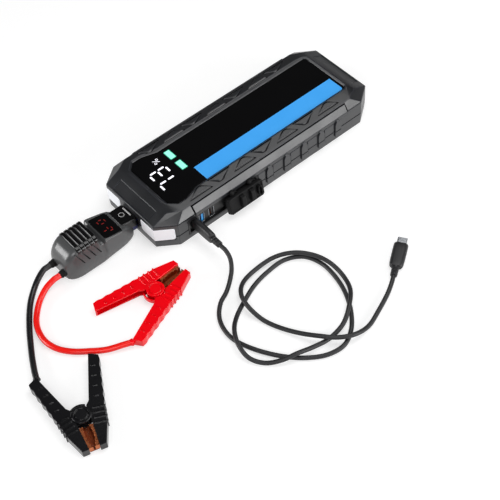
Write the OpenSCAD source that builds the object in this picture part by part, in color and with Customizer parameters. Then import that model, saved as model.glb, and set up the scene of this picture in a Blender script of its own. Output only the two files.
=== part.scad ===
// Jump starter pack with its plug-in clamp leads and a USB charging cable.
// Millimetres. The origin is the middle of the pack's underside, +Z is up, the
// lead socket and the lamps are at the -X end and the USB ports on the -Y side.

/* [Pack case] */
// Length of the case at its widest line
body_l = 238; // [200:1:290]
// Width of the case at its widest line, without the ribs
body_w = 88; // [84:1:106]
// Height of the case
body_h = 34; // [33:0.5:41]
// Height of the widest line
shoulder_z = 25.5; // [24:0.5:27]
// Height of the seam between the shells
seam_z = 12; // [11:0.5:13]
// Thickness of the case walls
wall = 2.4; // [2:0.1:3]
// How far an end slopes in from the widest line to the top
end_run = 14.5; // [10:0.5:18]
// How far a long side slopes in from the widest line to the top
side_run = 5; // [3:0.5:6]
// Corner cut along the length at the widest line
corner_l = 16.5; // [12:0.5:20]
// Corner cut across the width at the widest line
corner_w = 12; // [9:0.5:15]
// Corner cut along the length at the top
top_corner_l = 11.5; // [8:0.5:14]
// Corner cut across the width at the top
top_corner_w = 6.5; // [5:0.5:8]
// How far the top falls away from its flat middle to its edge
crown_drop = 1.8; // [1:0.1:2.5]
// How far the bottom edge is cut in
base_run = 4; // [2:0.5:5]
// Height of the bottom edge cut
base_rise = 5; // [3:0.5:6]

/* [Grip ribs] */
// Distance from rib to rib
rib_pitch = 19.7; // [17:0.1:22]
// Width of a rib
rib_w = 7; // [5:0.5:9]
// How far a rib stands out of the side
rib_proud = 2; // [1:0.1:3]
// How far the flat pad between two ribs stands out
pad_proud = 0.8; // [0.4:0.1:1.2]
// Ribs on the side with the ports
near_ribs = 5; // [3:1:6]
// Ribs on the other side
far_ribs = 7; // [5:1:8]

/* [Top window] */
// Length of the window
window_l = 197; // [160:1:200]
// Width of the window along the stripe
window_w = 53; // [44:1:56]
// Width of the window at the display
display_w = 62; // [54:1:66]
// How far the window lies below the top
window_drop = 2.2; // [1.5:0.1:2.5]
// Thickness of the window panel
panel_t = 1.1; // [0.8:0.1:1.5]
// Length of the coloured stripe
stripe_l = 154; // [120:1:156]
// Width of the coloured stripe
stripe_w = 17.5; // [12:0.5:20]
// Raised triangles beside the window on each side
triangle_count = 7; // [5:1:7]

/* [Corner lamps] */
// Height of a lamp lens
lens_h = 13; // [10:0.5:13]
// Lens width on the end face
lens_reach = 18; // [12:0.5:19]

/* [Ports] */
// Length of the port bay
bay_l = 75; // [70:1:80]
// Height of the port bay
bay_h = 16.5; // [16:0.5:17]
// Depth of the port bay
bay_depth = 2.2; // [1.8:0.1:2.4]
// Distance from one USB-A port to the next
usb_pitch = 10.2; // [9:0.1:11]
// Length of the port flap
flap_l = 36; // [34:0.5:37]
// Thickness of the port flap
flap_t = 2.6; // [2:0.1:3]

/* [Battery] */
// Length of a cell
cell_l = 135; // [100:1:140]
// Width of a cell
cell_w = 62; // [50:1:64]
// Thickness of a cell
cell_t = 5.7; // [4.5:0.1:5.8]
// Number of cells
cell_count = 4; // [3:1:4]

/* [Lead module] */
// Length of the module's housing
module_l = 69; // [64:1:80]
// Width of the module's housing
module_w = 34; // [30:1:38]
// Height of the module's housing
module_h = 29.5; // [27:0.5:33]
// Wall of the module's housing
module_wall = 1.8; // [1.4:0.1:2.2]
// Depth that the plug goes into its socket
plug_depth = 14; // [12:0.5:16]

/* [Clamps] */
// Distance from the pivot to the jaw tips
clamp_nose = 30; // [27:0.5:34]
// Distance from the pivot to the handle ends
clamp_tail = 46; // [42:0.5:56]
// Thickness of a clamp between its outer faces
clamp_t = 7.4; // [7.2:0.2:10]
// Wall of a clamp half
clamp_wall = 1.4; // [1.2:0.1:1.5]
// Radius of the pivot boss
boss_r = 7.5; // [7:0.1:8.5]
// Radius of the pivot pin
pin_r = 2; // [1.5:0.1:2.4]
// Diameter of the spring wire
spring_wire = 0.8; // [0.6:0.05:0.9]

/* [Cords] */
// Diameter of the clamp leads
lead_d = 5; // [4:0.1:6]
// Diameter of the USB cable
usb_d = 3.8; // [3.2:0.1:4]

/* [Fits] */
// Gap between pieces that move past each other
slide_gap = 0.3; // [0.2:0.05:0.4]
// Radial gap of a pin in its bore
pin_gap = 0.05; // [0.03:0.01:0.08]
// Gap round a piece that is set into an opening
seat_gap = 0.15; // [0.1:0.05:0.2]

/* [Hidden] */
$fn = 48;

charcoal = "#35363c";
rubber_black = "#1c1c1e";
window_black = "#0c0c0d";
stripe_blue = "#41aeff";
lens_white = "#e8eaee";
module_grey = "#646566";
clamp_red = "#e80a1e";
clamp_black = "#17181a";
copper = "#be6e46";
steel = "#b9bcc0";
board_green = "#1f5a3c";
plug_blue = "#262a63";
cell_silver = "#8f969c";
far = 400;

// Faces and edges of the case that other pieces are placed from
front_x = -body_l / 2;
side_y = body_w / 2;
end_slope = atan2(body_h - crown_drop - shoulder_z, end_run);

// A corner cut, shortened as its outline moves in by d
function cut_in(a, b, d) = a - d * (1 - (norm([a, b]) - a) / b);

// Rectangle l by w with cut corners, moved in by d
function outline(l, w, cl, cw, d) =
  let (x = l / 2 - d, y = w / 2 - d, a = cut_in(cl, cw, d), b = cut_in(cw, cl, d))
  [[x, b - y], [x, y - b], [x - a, y], [a - x, y],
   [-x, y - b], [-x, b - y], [a - x, -y], [x - a, -y]];

// Closed solid through outlines of equal point counts, given as [height, points]
module stack(levels) {
  n = len(levels[0][1]);
  m = len(levels);
  polyhedron(
    points = [for (level = levels) for (p = level[1]) [p.x, p.y, level[0]]],
    faces = concat(
      [[for (i = [0 : n - 1]) i]],
      [[for (i = [n - 1 : -1 : 0]) (m - 1) * n + i]],
      [for (k = [0 : m - 2]) for (i = [0 : n - 1])
        [k * n + i, (k + 1) * n + i, (k + 1) * n + (i + 1) % n]],
      [for (k = [0 : m - 2]) for (i = [0 : n - 1])
        [k * n + i, (k + 1) * n + (i + 1) % n, k * n + (i + 1) % n]]));
}

// Box from one corner to the opposite one
module span(a, b) {
  translate([min(a.x, b.x), min(a.y, b.y), min(a.z, b.z)])
    cube([abs(b.x - a.x), abs(b.y - a.y), abs(b.z - a.z)]);
}

// Rounded rectangle standing on edge: x by z, extruded along y
module slot_bar(size, y0, y1) {
  r = min(size.x, size.y) / 2;
  translate([0, y1, 0])
    rotate([90, 0, 0])
      linear_extrude(y1 - y0) {
        square([size.x, size.y - 2 * r], center = true);
        for (s = [-1, 1])
          translate([0, s * (size.y / 2 - r)])
            circle(r);
      }
}

module both_sides() {
  children();
  mirror([0, 1, 0])
    children();
}

// Flat middle of the top, from which the rest of the top falls away
crown_inset = 3.5;
crown_rim = 1.5;
crown_l = body_l - 2 * end_run - 2 * crown_inset;
crown_w = window_w + 2 * crown_rim;

// The outer form of the case, moved in by d on every face
module case_form(d) {
  stack([
    [d, outline(body_l - 2 * base_run, body_w - 2 * base_run, corner_l, corner_w, d)],
    [base_rise, outline(body_l, body_w, corner_l, corner_w, d)],
    [shoulder_z, outline(body_l, body_w, corner_l, corner_w, d)],
    [body_h - crown_drop - d,
     outline(body_l - 2 * end_run, body_w - 2 * side_run, top_corner_l, top_corner_w, d)],
    [body_h - d, outline(crown_l, crown_w, top_corner_l, top_corner_w, d)]]);
}

// Window outline: wider round the display, cut at the corners
window_x0 = front_x + 22;
window_x1 = window_x0 + window_l;
display_end = window_x0 + 15;
window_slant = 14;
window_corner = 6;
window_end = 2;
window_z = body_h - window_drop - panel_t;
pan_t = 2;
pan_z = window_z - pan_t;
module window_outline(grow) {
  offset(delta = grow)
    polygon([
      [window_x0, window_corner - display_w / 2], [window_x0 + window_corner, -display_w / 2],
      [display_end, -display_w / 2], [display_end + window_slant, -window_w / 2],
      [window_x1 - window_end, -window_w / 2], [window_x1, window_end - window_w / 2],
      [window_x1, window_w / 2 - window_end], [window_x1 - window_end, window_w / 2],
      [display_end + window_slant, window_w / 2], [display_end, display_w / 2],
      [window_x0 + window_corner, display_w / 2], [window_x0, display_w / 2 - window_corner]]);
}

// Room for the window: upright round the panel, then sloping out to the top
function display_zone(g) = [
  [window_x0 - g, window_corner - display_w / 2], [window_x0 + window_corner, -display_w / 2 - g],
  [display_end, -display_w / 2 - g], [display_end + window_slant, -window_w / 2 - g],
  [display_end + window_slant, window_w / 2 + g], [display_end, display_w / 2 + g],
  [window_x0 + window_corner, display_w / 2 + g], [window_x0 - g, display_w / 2 - window_corner]];
function stripe_zone(g) = [
  [display_end + window_slant - 1, -window_w / 2 - g], [window_x1 - window_end, -window_w / 2 - g],
  [window_x1 + g, window_end - window_w / 2], [window_x1 + g, window_w / 2 - window_end],
  [window_x1 - window_end, window_w / 2 + g], [display_end + window_slant - 1, window_w / 2 + g]];
module window_recess() {
  over = 1;
  panel_z = window_z + panel_t;
  g = window_drop + over;
  stack([[window_z, display_zone(0)], [panel_z, display_zone(0)], [body_h + over, display_zone(g)]]);
  stack([[window_z, stripe_zone(0)], [panel_z, stripe_zone(0)], [body_h + over, stripe_zone(g)]]);
}

// Light unit behind the window
unit_l = 27;
unit_w = 39;
unit_x = window_x0 + 5.5 + unit_l / 2;
unit_frame = 3.5;
unit_board_t = 1.6;

// Grip ribs: first rib, heights and the sloping top of a rib
rib_x0 = 73.5;
rib_z0 = base_rise + 0.6;
rib_top = 23.5;
rib_taper = 4;
pad_top = 21.4;
band_z0 = 22;
band_z1 = 31.4;
band_proud = 0.6;
band_x0 = front_x + 35;
band_x1 = rib_x0 + 12;
rib_root = wall / 2;

module rib(x, y_in, y_out, z0) {
  translate([x, -y_in, 0])
    rotate([90, 0, 0])
      linear_extrude(y_out - y_in)
        polygon([[-rib_w / 2, z0], [rib_w / 2, z0], [rib_w / 2, rib_top - rib_taper],
                 [rib_w / 4, rib_top], [-rib_w / 4, rib_top], [-rib_w / 2, rib_top - rib_taper]]);
}

module grip(count) {
  for (i = [0 : count - 1]) {
    x = rib_x0 - i * rib_pitch;
    rib(x, side_y - rib_root, side_y + rib_proud, rib_z0);
    span([x - rib_pitch + rib_w / 2 + 1, -side_y + rib_root, rib_z0],
         [x - rib_w / 2 - 1, -side_y - pad_proud, pad_top]);
  }
}

// Plain band above the ribs, folded over the widest line
module side_band() {
  difference() {
    intersection() {
      case_form(-band_proud);
      span([band_x0, -side_y - far, band_z0], [band_x1, side_run - side_y, band_z1]);
    }
    case_form(rib_root);
  }
}

// Raised triangles beside the window, pointing in and out by turns
triangle_pitch = 23.5;
triangle_l = 21;
triangle_w = 7;
triangle_proud = 0.5;
triangle_y = (window_w / 2 + side_y - side_run) / 2;
triangle_x0 = -70.5;
module triangles() {
  intersection() {
    case_form(-triangle_proud);
    for (i = [0 : triangle_count - 1])
      translate([triangle_x0 + i * triangle_pitch, -triangle_y, body_h - 2 * crown_drop])
        mirror([0, i % 2, 0])
          linear_extrude(2 * crown_drop + triangle_proud)
            polygon([[-triangle_l / 2, -triangle_w / 2], [triangle_l / 2, -triangle_w / 2],
                     [triangle_l / 6, triangle_w / 2], [-triangle_l / 6, triangle_w / 2]]);
  }
}

// Shallow panel cut into a sloping end
end_panel_w = 48;
end_panel_l = 10;
end_panel_drop = 0.6;
module end_panel() {
  translate([front_x, 0, shoulder_z])
    rotate([0, -end_slope, 0])
      translate([1.5, -end_panel_w / 2, -end_panel_drop])
        cube([end_panel_l, end_panel_w, far / 40]);
}

// Corner lamps: the lens follows the end face and the corner cut
lens_z = 8;
lens_end = 0.85;
lens_flange = 1.2;
lens_lip = 1.5;
lens_y0 = body_w / 2 - corner_w - lens_reach;
corner_n = [corner_w, corner_l] / norm([corner_w, corner_l]);
module lens_plan(t0, t1, grow) {
  a = [front_x, -(side_y - corner_w)];
  dir = [corner_l, -corner_w] / norm([corner_l, corner_w]);
  b = a + dir * (norm([corner_l, corner_w]) * lens_end + grow);
  bend = (norm([corner_l, corner_w]) - corner_w) / corner_l;
  polygon([
    [front_x + t0, -lens_y0 + grow], [front_x + t0, a.y + bend * t0], b + corner_n * t0,
    b + corner_n * t1, [front_x + t1, a.y + bend * t1], [front_x + t1, -lens_y0 + grow]]);
}

module near_lens_cut() {
  translate([0, 0, lens_z - seat_gap])
    linear_extrude(lens_h + 2 * seat_gap)
      lens_plan(-1, wall + 1, seat_gap);
}

module lens_solid() {
  translate([0, 0, lens_z])
    linear_extrude(lens_h)
      lens_plan(0, wall + seat_gap, 0);
  translate([0, 0, lens_z - lens_lip])
    linear_extrude(lens_h + 2 * lens_lip)
      lens_plan(wall + seat_gap, wall + seat_gap + lens_flange, lens_lip);
}

// Lead socket in the end face
socket_z = 11.5;
nose_w = 17;
nose_h = 9;
socket_wall = 1.5;
socket_l = plug_depth + 6;
socket_w = nose_w + 2 * slide_gap + 2 * socket_wall;
socket_h = nose_h + 2 * slide_gap + 2 * socket_wall;
socket_flange = 1.5;
contact_pitch = 9.6;
contact_r = 2.45;
sleeve_r = contact_r + pin_gap;
sleeve_wall = 0.6;
module socket_block(grow, x0, x1) {
  span([x0, -socket_w / 2 - grow, socket_z - socket_h / 2 - grow],
       [x1, socket_w / 2 + grow, socket_z + socket_h / 2 + grow]);
}

// Round bar along x
module bar(r, x0, x1, y, z) {
  translate([x0, y, z])
    rotate([0, 90, 0])
      cylinder(r = r, h = x1 - x0);
}

// Port bay: the bezel is set into the near side, the ports into the bezel
bay_x0 = front_x + 26.5;
bay_x1 = bay_x0 + bay_l;
bay_z0 = base_rise;
bay_z1 = bay_z0 + bay_h;
bezel_wall = 1.4;
bezel_back = 1.8;
bezel_lip = 1;
port_z = bay_z0 + bay_h / 2;
port_y = -side_y + bay_depth;
usb_c_x = bay_x0 + 7.5;
usb_a_x = [usb_c_x + 8, usb_c_x + 8 + usb_pitch];
usb_a_size = [5.7, 13.1];
usb_a_wall = 0.35;
usb_a_depth = 14;
usb_c_size = [3.6, 9.45];
usb_c_wall = 0.3;
usb_c_depth = 9;
module bay_block(grow, y0, y1) {
  span([bay_x0 - grow, y0, bay_z0 - grow], [bay_x1 + grow, y1, bay_z1 + grow]);
}

// Rubber cover: the fixed part fills the bay beyond the ports, the flap folds on it
hinge_x = bay_x0 + 38.7;
cover_face = -side_y - rib_proud - 0.2;
fold_gap = 0.5;
hinge_y = cover_face - fold_gap / 2;
barrel_r = 1.3;
flap_z0 = bay_z0 + bezel_wall + 0.6;
flap_z1 = bay_z1 - bezel_wall - 0.6;
stub_l = 4;
flap_lip = 1.4;

// Power button in the far side, over its switch
button_x = front_x + 39;
button_z = 17.5;
button_size = [14, 7];
button_proud = 0.8;
button_travel = 0.6;
button_flange = 1;
switch_gap = button_travel + slide_gap;

// Screws: six from below, in wells that rubber plugs close
screw_r = 1.4;
screw_head_r = 2.7;
screw_head_h = 2;
well_r = 3.1;
well_h = 6.5;
screw_top = 22;
boss_bottom_r = 4.6;
boss_top_r = 4;
boss_sink = 1;
screw_spots = [
  for (s = [-1, 1]) [front_x + 13.5, 18.5 * s],
  for (s = [-1, 1]) [15, (side_y - wall - boss_bottom_r + boss_sink) * s],
  for (s = [-1, 1]) [-front_x - 13.5, 24 * s]];

// Boards and cells
board_t = 1.6;
board_z = port_z - usb_a_size.y / 2 - board_t;
board_x0 = front_x + 24;
board_x1 = front_x + 66;
board_y0 = port_y + bezel_back + 0.4;
board_y1 = 30;
post_r = 2;
board_posts = [for (x = [board_x0 + 4, board_x1 - 4]) for (y = [board_y0 + 20, board_y1 - 4]) [x, y]];
foam_t = 1;
cell_x0 = board_x1 + 8;
cell_z0 = wall + foam_t;
cell_z1 = cell_z0 + cell_count * cell_t;
link_t = 4;
link_w = 40;
power_bar = [8, 1.5];

module shell_cuts() {
  near_lens_cut();
  mirror([0, 1, 0])
    near_lens_cut();
  socket_block(seat_gap, front_x - 1, front_x + wall + 1);
  bay_block(seat_gap, -side_y - rib_proud - 1, -side_y + wall + 1);
}

module top_shell() {
  color(charcoal)
    difference() {
      intersection() {
        union() {
          difference() {
            case_form(0);
            case_form(wall);
          }
          intersection() {
            case_form(wall / 2);
            union() {
              translate([0, 0, pan_z])
                linear_extrude(body_h - pan_z)
                  window_outline(2);
              for (p = screw_spots)
                translate([p.x, p.y, seam_z])
                  cylinder(r = boss_top_r, h = body_h - seam_z);
            }
          }
          grip(near_ribs);
          both_sides()
            side_band();
          mirror([0, 1, 0])
            grip(far_ribs);
          both_sides()
            triangles();
        }
        translate([-far / 2, -far / 2, seam_z])
          cube(far);
      }
      shell_cuts();
      window_recess();
      end_panel();
      mirror([1, 0, 0])
        end_panel();
      span([unit_x - unit_l / 2 - seat_gap, -unit_w / 2 - seat_gap, pan_z - 1],
           [unit_x + unit_l / 2 + seat_gap, unit_w / 2 + seat_gap, window_z + 1]);
      translate([button_x, side_y, button_z])
        cube([button_size.x + 2 * slide_gap, 4 * wall, button_size.y + 2 * slide_gap], center = true);
      for (p = screw_spots)
        translate([p.x, p.y, seam_z - 1])
          cylinder(r = screw_r, h = screw_top - seam_z + 2);
    }
}

module bottom_shell() {
  color(charcoal)
    difference() {
      union() {
        intersection() {
          union() {
            difference() {
              case_form(0);
              case_form(wall);
            }
            grip(near_ribs);
            mirror([0, 1, 0])
              grip(far_ribs);
          }
          translate([-far / 2, -far / 2, seam_z - far])
            cube(far);
        }
        for (p = screw_spots)
          translate([p.x, p.y, wall / 2])
            cylinder(r = boss_bottom_r, h = seam_z - wall / 2);
        for (p = board_posts)
          translate([p.x, p.y, wall / 2])
            cylinder(r = post_r, h = board_z - wall / 2);
      }
      shell_cuts();
      for (p = screw_spots)
        translate([p.x, p.y, -1]) {
          cylinder(r = well_r, h = well_h + 1);
          cylinder(r = screw_r + slide_gap, h = seam_z + 2);
        }
    }
}

module display_window() {
  color(window_black)
    translate([0, 0, window_z])
      linear_extrude(panel_t)
        window_outline(-seat_gap);
}

stripe_t = 0.25;
stripe_x1 = window_x1 - window_end - 0.5;
module label_stripe() {
  color(stripe_blue)
    translate([stripe_x1 - stripe_l, seat_gap + 0.3 - window_w / 2, window_z + panel_t])
      cube([stripe_l, stripe_w, stripe_t]);
}

module display_module() {
  color(rubber_black) {
    span([unit_x - unit_l / 2, -unit_w / 2, pan_z], [unit_x + unit_l / 2, unit_w / 2, window_z - seat_gap]);
    span([unit_x - unit_l / 2 - unit_frame, -unit_w / 2 - unit_frame, pan_z - unit_board_t],
         [unit_x + unit_l / 2 + unit_frame, unit_w / 2 + unit_frame, pan_z]);
  }
}

module near_lamp_lens() {
  color(lens_white)
    lens_solid();
}

module far_lamp_lens() {
  color(lens_white)
    mirror([0, 1, 0])
      lens_solid();
}

// Lamp boards lie on the back of the lens flange, along the corner cut
lamp_board = [13, 10, 1.2];
module lamp_board_near() {
  mid = [front_x + corner_l / 2, -(side_y - corner_w / 2)] + corner_n * (wall + seat_gap + lens_flange);
  translate([mid.x, mid.y, lens_z + lens_h / 2])
    rotate([0, 0, atan2(-corner_w, corner_l)])
      translate([-lamp_board.x / 2, 0, -lamp_board.y / 2])
        cube([lamp_board.x, lamp_board.z, lamp_board.y]);
}

module lamp_boards() {
  color(board_green)
    both_sides()
      lamp_board_near();
}

module lead_socket() {
  color(rubber_black)
    difference() {
      union() {
        socket_block(0, front_x, front_x + socket_l);
        intersection() {
          socket_block(socket_flange, front_x + wall + seat_gap, front_x + wall + seat_gap + socket_flange);
          case_form(wall + seat_gap);
        }
      }
      span([front_x - 1, -nose_w / 2 - slide_gap, socket_z - nose_h / 2 - slide_gap],
           [front_x + plug_depth + slide_gap, nose_w / 2 + slide_gap, socket_z + nose_h / 2 + slide_gap]);
      for (s = [-1, 1])
        bar(contact_r, front_x, front_x + socket_l + 1, s * contact_pitch / 2, socket_z);
    }
}

contact_tail = 4;
module socket_contacts() {
  color(copper)
    for (s = [-1, 1])
      bar(contact_r, front_x + 3, front_x + socket_l + contact_tail, s * contact_pitch / 2, socket_z);
}

module power_bars() {
  color(copper)
    for (s = [-1, 1])
      translate([0, s * contact_pitch / 2, socket_z])
        span([front_x + socket_l + contact_tail, -power_bar.x / 2, -power_bar.y / 2],
             [cell_x0 - link_t, power_bar.x / 2, power_bar.y / 2]);
}

module battery_cells() {
  color(cell_silver)
    for (i = [0 : cell_count - 1])
      translate([cell_x0, -cell_w / 2, cell_z0 + i * cell_t])
        cube([cell_l, cell_w, cell_t]);
}

module cell_link_board() {
  color(board_green)
    span([cell_x0 - link_t, -link_w / 2, cell_z0], [cell_x0, link_w / 2, cell_z1 - 1]);
}

module lower_foam() {
  color(rubber_black)
    translate([cell_x0, -cell_w / 2, wall])
      cube([cell_l, cell_w, foam_t]);
}

module upper_foam() {
  color(rubber_black)
    span([cell_x0, -cell_w / 2, cell_z1], [cell_x0 + cell_l, cell_w / 2, pan_z - 0.2]);
}

module main_board() {
  color(board_green)
    difference() {
      span([board_x0, board_y0, board_z], [board_x1, board_y1, board_z + board_t]);
      for (p = screw_spots)
        translate([p.x, p.y, 0])
          cylinder(r = boss_bottom_r + slide_gap, h = body_h);
    }
}

module port_bezel() {
  color(rubber_black)
    difference() {
      union() {
        bay_block(0, -side_y, port_y + bezel_back);
        intersection() {
          bay_block(bezel_lip, -side_y + wall + seat_gap, port_y + bezel_back);
          case_form(wall + seat_gap);
        }
      }
      bay_block(-bezel_wall, -side_y - 1, port_y);
      for (x = usb_a_x)
        translate([x, port_y, port_z])
          cube([usb_a_size.x + 2 * seat_gap, far / 40, usb_a_size.y + 2 * seat_gap], center = true);
      translate([usb_c_x, 0, port_z])
        slot_bar(usb_c_size + [2, 2] * seat_gap, port_y - 1, port_y + bezel_back + 1);
    }
}

// USB-A port: metal shell standing on edge, with its contact tongue
tongue = [1.8, 11, 9];
module usb_a_port(x, tint) {
  color(tint)
    translate([x, port_y, port_z]) {
      difference() {
        translate([-usb_a_size.x / 2, 0, -usb_a_size.y / 2])
          cube([usb_a_size.x, usb_a_depth, usb_a_size.y]);
        translate([-usb_a_size.x / 2 + usb_a_wall, -1, -usb_a_size.y / 2 + usb_a_wall])
          cube([usb_a_size.x - 2 * usb_a_wall, usb_a_depth - 1, usb_a_size.y - 2 * usb_a_wall]);
      }
      translate([0.4, usb_a_depth - 2 - tongue.z, -tongue.y / 2])
        cube([tongue.x, tongue.z + 1, tongue.y]);
    }
}

module usb_a_port_1() {
  usb_a_port(usb_a_x[0], stripe_blue);
}

module usb_a_port_2() {
  usb_a_port(usb_a_x[1], steel);
}

c_tongue = [0.7, 6.4];
module usb_c_port() {
  color(steel)
    translate([usb_c_x, port_y, port_z]) {
      difference() {
        slot_bar(usb_c_size, 0, usb_c_depth);
        slot_bar(usb_c_size - [2, 2] * usb_c_wall, -1, usb_c_depth - 1.2);
      }
      translate([-c_tongue.x / 2, 2, -c_tongue.y / 2])
        cube([c_tongue.x, usb_c_depth - 2, c_tongue.y]);
      span([-usb_c_size.x / 2, bezel_back + 1, board_z + board_t - port_z],
           [usb_c_size.x / 2, usb_c_depth, 0.3 - usb_c_size.y / 2 + usb_c_wall]);
    }
}

module hinge_barrel(r, z0, z1) {
  translate([hinge_x, hinge_y, z0])
    cylinder(r = r, h = z1 - z0);
}

module port_cover() {
  x0 = hinge_x + 0.6;
  color(rubber_black)
    difference() {
      union() {
        span([x0, port_y, flap_z0], [bay_x1 - bezel_wall - seat_gap, cover_face, flap_z1]);
        intersection() {
          for (i = [near_ribs, near_ribs + 1])
            rib(rib_x0 - i * rib_pitch, side_y + band_proud + slide_gap, -cover_face, flap_z0);
          span([x0, cover_face, flap_z0], [bay_x1, 0, body_h]);
        }
      }
      hinge_barrel(barrel_r + slide_gap, 0, body_h);
    }
}

module port_flap() {
  y0 = cover_face - fold_gap;
  y1 = y0 - flap_t;
  color(rubber_black) {
    hinge_barrel(barrel_r, flap_z0, flap_z1);
    span([hinge_x, y0, flap_z0 - flap_lip], [hinge_x + flap_l, y1, flap_z1 + flap_lip]);
    for (x = usb_a_x)
      translate([2 * hinge_x - x, (y1 + y1 - stub_l) / 2, port_z])
        cube([usb_a_size.x - 1.4, stub_l, usb_a_size.y - 1.5], center = true);
    translate([2 * hinge_x - usb_c_x, 0, port_z])
      difference() {
        slot_bar(usb_c_size - [1, 1], y1 - stub_l, y1);
        slot_bar(usb_c_size - [2.2, 2.2], y1 - stub_l - 1, y1 - 1);
      }
  }
}

module power_button() {
  color(rubber_black)
    translate([button_x, side_y, button_z]) {
      span([-button_size.x / 2, button_proud, -button_size.y / 2],
           [button_size.x / 2, -wall - slide_gap, button_size.y / 2]);
      span([-button_size.x / 2 - 1, -wall - slide_gap, -button_size.y / 2 - 1],
           [button_size.x / 2 + 1, -wall - slide_gap - button_flange, button_size.y / 2 + 1]);
    }
}

// Tactile switch on its own upright board, which stands on the main board
switch_y = side_y - wall - slide_gap - button_flange - switch_gap;
switch_size = [6, 3.5, 6];
module button_switch() {
  color(steel) {
    translate([button_x, switch_y - 1, button_z])
      rotate([-90, 0, 0])
        cylinder(r = 1.7, h = 1);
    translate([button_x - switch_size.x / 2, switch_y - 1 - switch_size.y, button_z - switch_size.z / 2])
      cube(switch_size);
    span([button_x - 9, switch_y - 1 - switch_size.y, button_z + 5],
         [button_x + 9, switch_y - 1 - switch_size.y - board_t, board_z]);
    span([button_x - 9, switch_y - 1 - switch_size.y, board_z],
         [button_x + 9, board_y1, board_z + board_t]);
  }
}

module case_screws() {
  color(steel)
    for (p = screw_spots)
      translate([p.x, p.y, 0]) {
        translate([0, 0, well_h - screw_head_h])
          cylinder(r = screw_head_r, h = screw_head_h);
        translate([0, 0, well_h - 0.5])
          cylinder(r = screw_r, h = screw_top - well_h);
      }
}

module screw_plugs() {
  color(rubber_black)
    for (p = screw_spots)
      translate([p.x, p.y, 0])
        cylinder(r = well_r - seat_gap / 3, h = well_h - screw_head_h - seat_gap);
}

// Lead module: one side profile, one plan and one cross-section, cut by each other
module_x1 = front_x - 5;
module_x0 = module_x1 - module_l;
module_seam = 5;
grip_x0 = module_x0 + 12;
grip_x1 = module_x0 + 33;
waist_x1 = module_x0 + 39;
screen_x1 = module_x0 + 60;
waist_z = module_h - 8.5;
screen_z0 = module_h - 6.5;
screen_z1 = module_h - 10.5;
nose_z = module_h - 14;
module module_form(d) {
  intersection() {
    rotate([90, 0, 0])
      linear_extrude(far, center = true)
        offset(delta = -d)
          polygon([[module_x0 + 2, 0], [module_x1 - 3, 0], [module_x1, 4], [module_x1, nose_z],
                   [screen_x1, screen_z1], [waist_x1, screen_z0], [waist_x1 - 1, waist_z],
                   [grip_x1 + 1.5, waist_z], [grip_x1, module_h], [grip_x0, module_h],
                   [module_x0 + 1, 17], [module_x0, 8]]);
    linear_extrude(far, center = true)
      offset(delta = -d)
        polygon(concat(
          module_plan,
          [for (i = [len(module_plan) - 1 : -1 : 0]) [module_plan[i].x, -module_plan[i].y]]));
    rotate([90, 0, 90])
      linear_extrude(2 * far, center = true)
        offset(delta = -d)
          polygon([[-module_w / 2 + 3, 0], [module_w / 2 - 3, 0], [module_w / 2, 4], [module_w / 2, 10],
                   [module_w / 2 - 4.5, module_h], [4.5 - module_w / 2, module_h],
                   [-module_w / 2, 10], [-module_w / 2, 4]]);
  }
}

// Near edge of the module's plan, from its tail to its plug
module_plan = [
  [module_x0, 6 - module_w / 2], [module_x0 + 4, 2.5 - module_w / 2], [module_x0 + 13, -module_w / 2],
  [module_x0 + 32, -module_w / 2], [module_x0 + 48, 1.5 - module_w / 2],
  [module_x0 + 60, 4 - module_w / 2], [module_x1, 7.5 - module_w / 2]];

// Black grip set into the module's back, with raised bars across it
grip_drop = 1.2;
grip_w = 25;
grip_bars = 5;
grip_bar = 2.2;
grip_bar_proud = 0.8;
screen_t = 1.2;
screen_w = 25;
screen_tilt = atan2(screen_z0 - screen_z1, screen_x1 - waist_x1);
screen_l = norm([screen_z0 - screen_z1, screen_x1 - waist_x1]) - 2;
module screen_plate(grow, t) {
  translate([waist_x1, 0, screen_z0])
    rotate([0, screen_tilt, 0])
      translate([1 - grow, -screen_w / 2 - grow, -screen_t])
        cube([screen_l + 2 * grow, screen_w + 2 * grow, t]);
}

collar_x0 = front_x - 13;
collar_w = 19.4;
collar_top = 18;
collar_wall = 1;
plug_x1 = front_x - slide_gap;
plug_w = collar_w - 2 * collar_wall;
plug_z0 = socket_z - 7;
plug_z1 = collar_top - 2;
module plug_body(grow, x0, x1) {
  span([x0, -collar_w / 2 - grow, plug_z0 - grow], [x1, collar_w / 2 + grow, collar_top + grow]);
}

vent_count = 4;
vent_size = [1.2, 12];
vent_pitch = 5.5;
vent_z = 20;
vent_lean = 24;
module vents() {
  for (i = [0 : vent_count - 1])
    translate([grip_x0 + 1.5 + i * vent_pitch, -module_w / 2, vent_z])
      rotate([0, -vent_lean, 0])
        cube([vent_size.x, 12, vent_size.y], center = true);
}

lead_y = [-8, 6];
lead_z = 9;
grommet_l = 4.5;
grommet_r = 4;

module module_shell() {
  difference() {
    module_form(0);
    module_form(module_wall);
    plug_body(seat_gap, collar_x0, front_x);
    for (y = lead_y)
      bar(lead_d / 2 + 0.6, module_x0 - 1, module_x0 + module_wall + 3, y, lead_z);
    both_sides()
      vents();
  }
}

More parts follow.
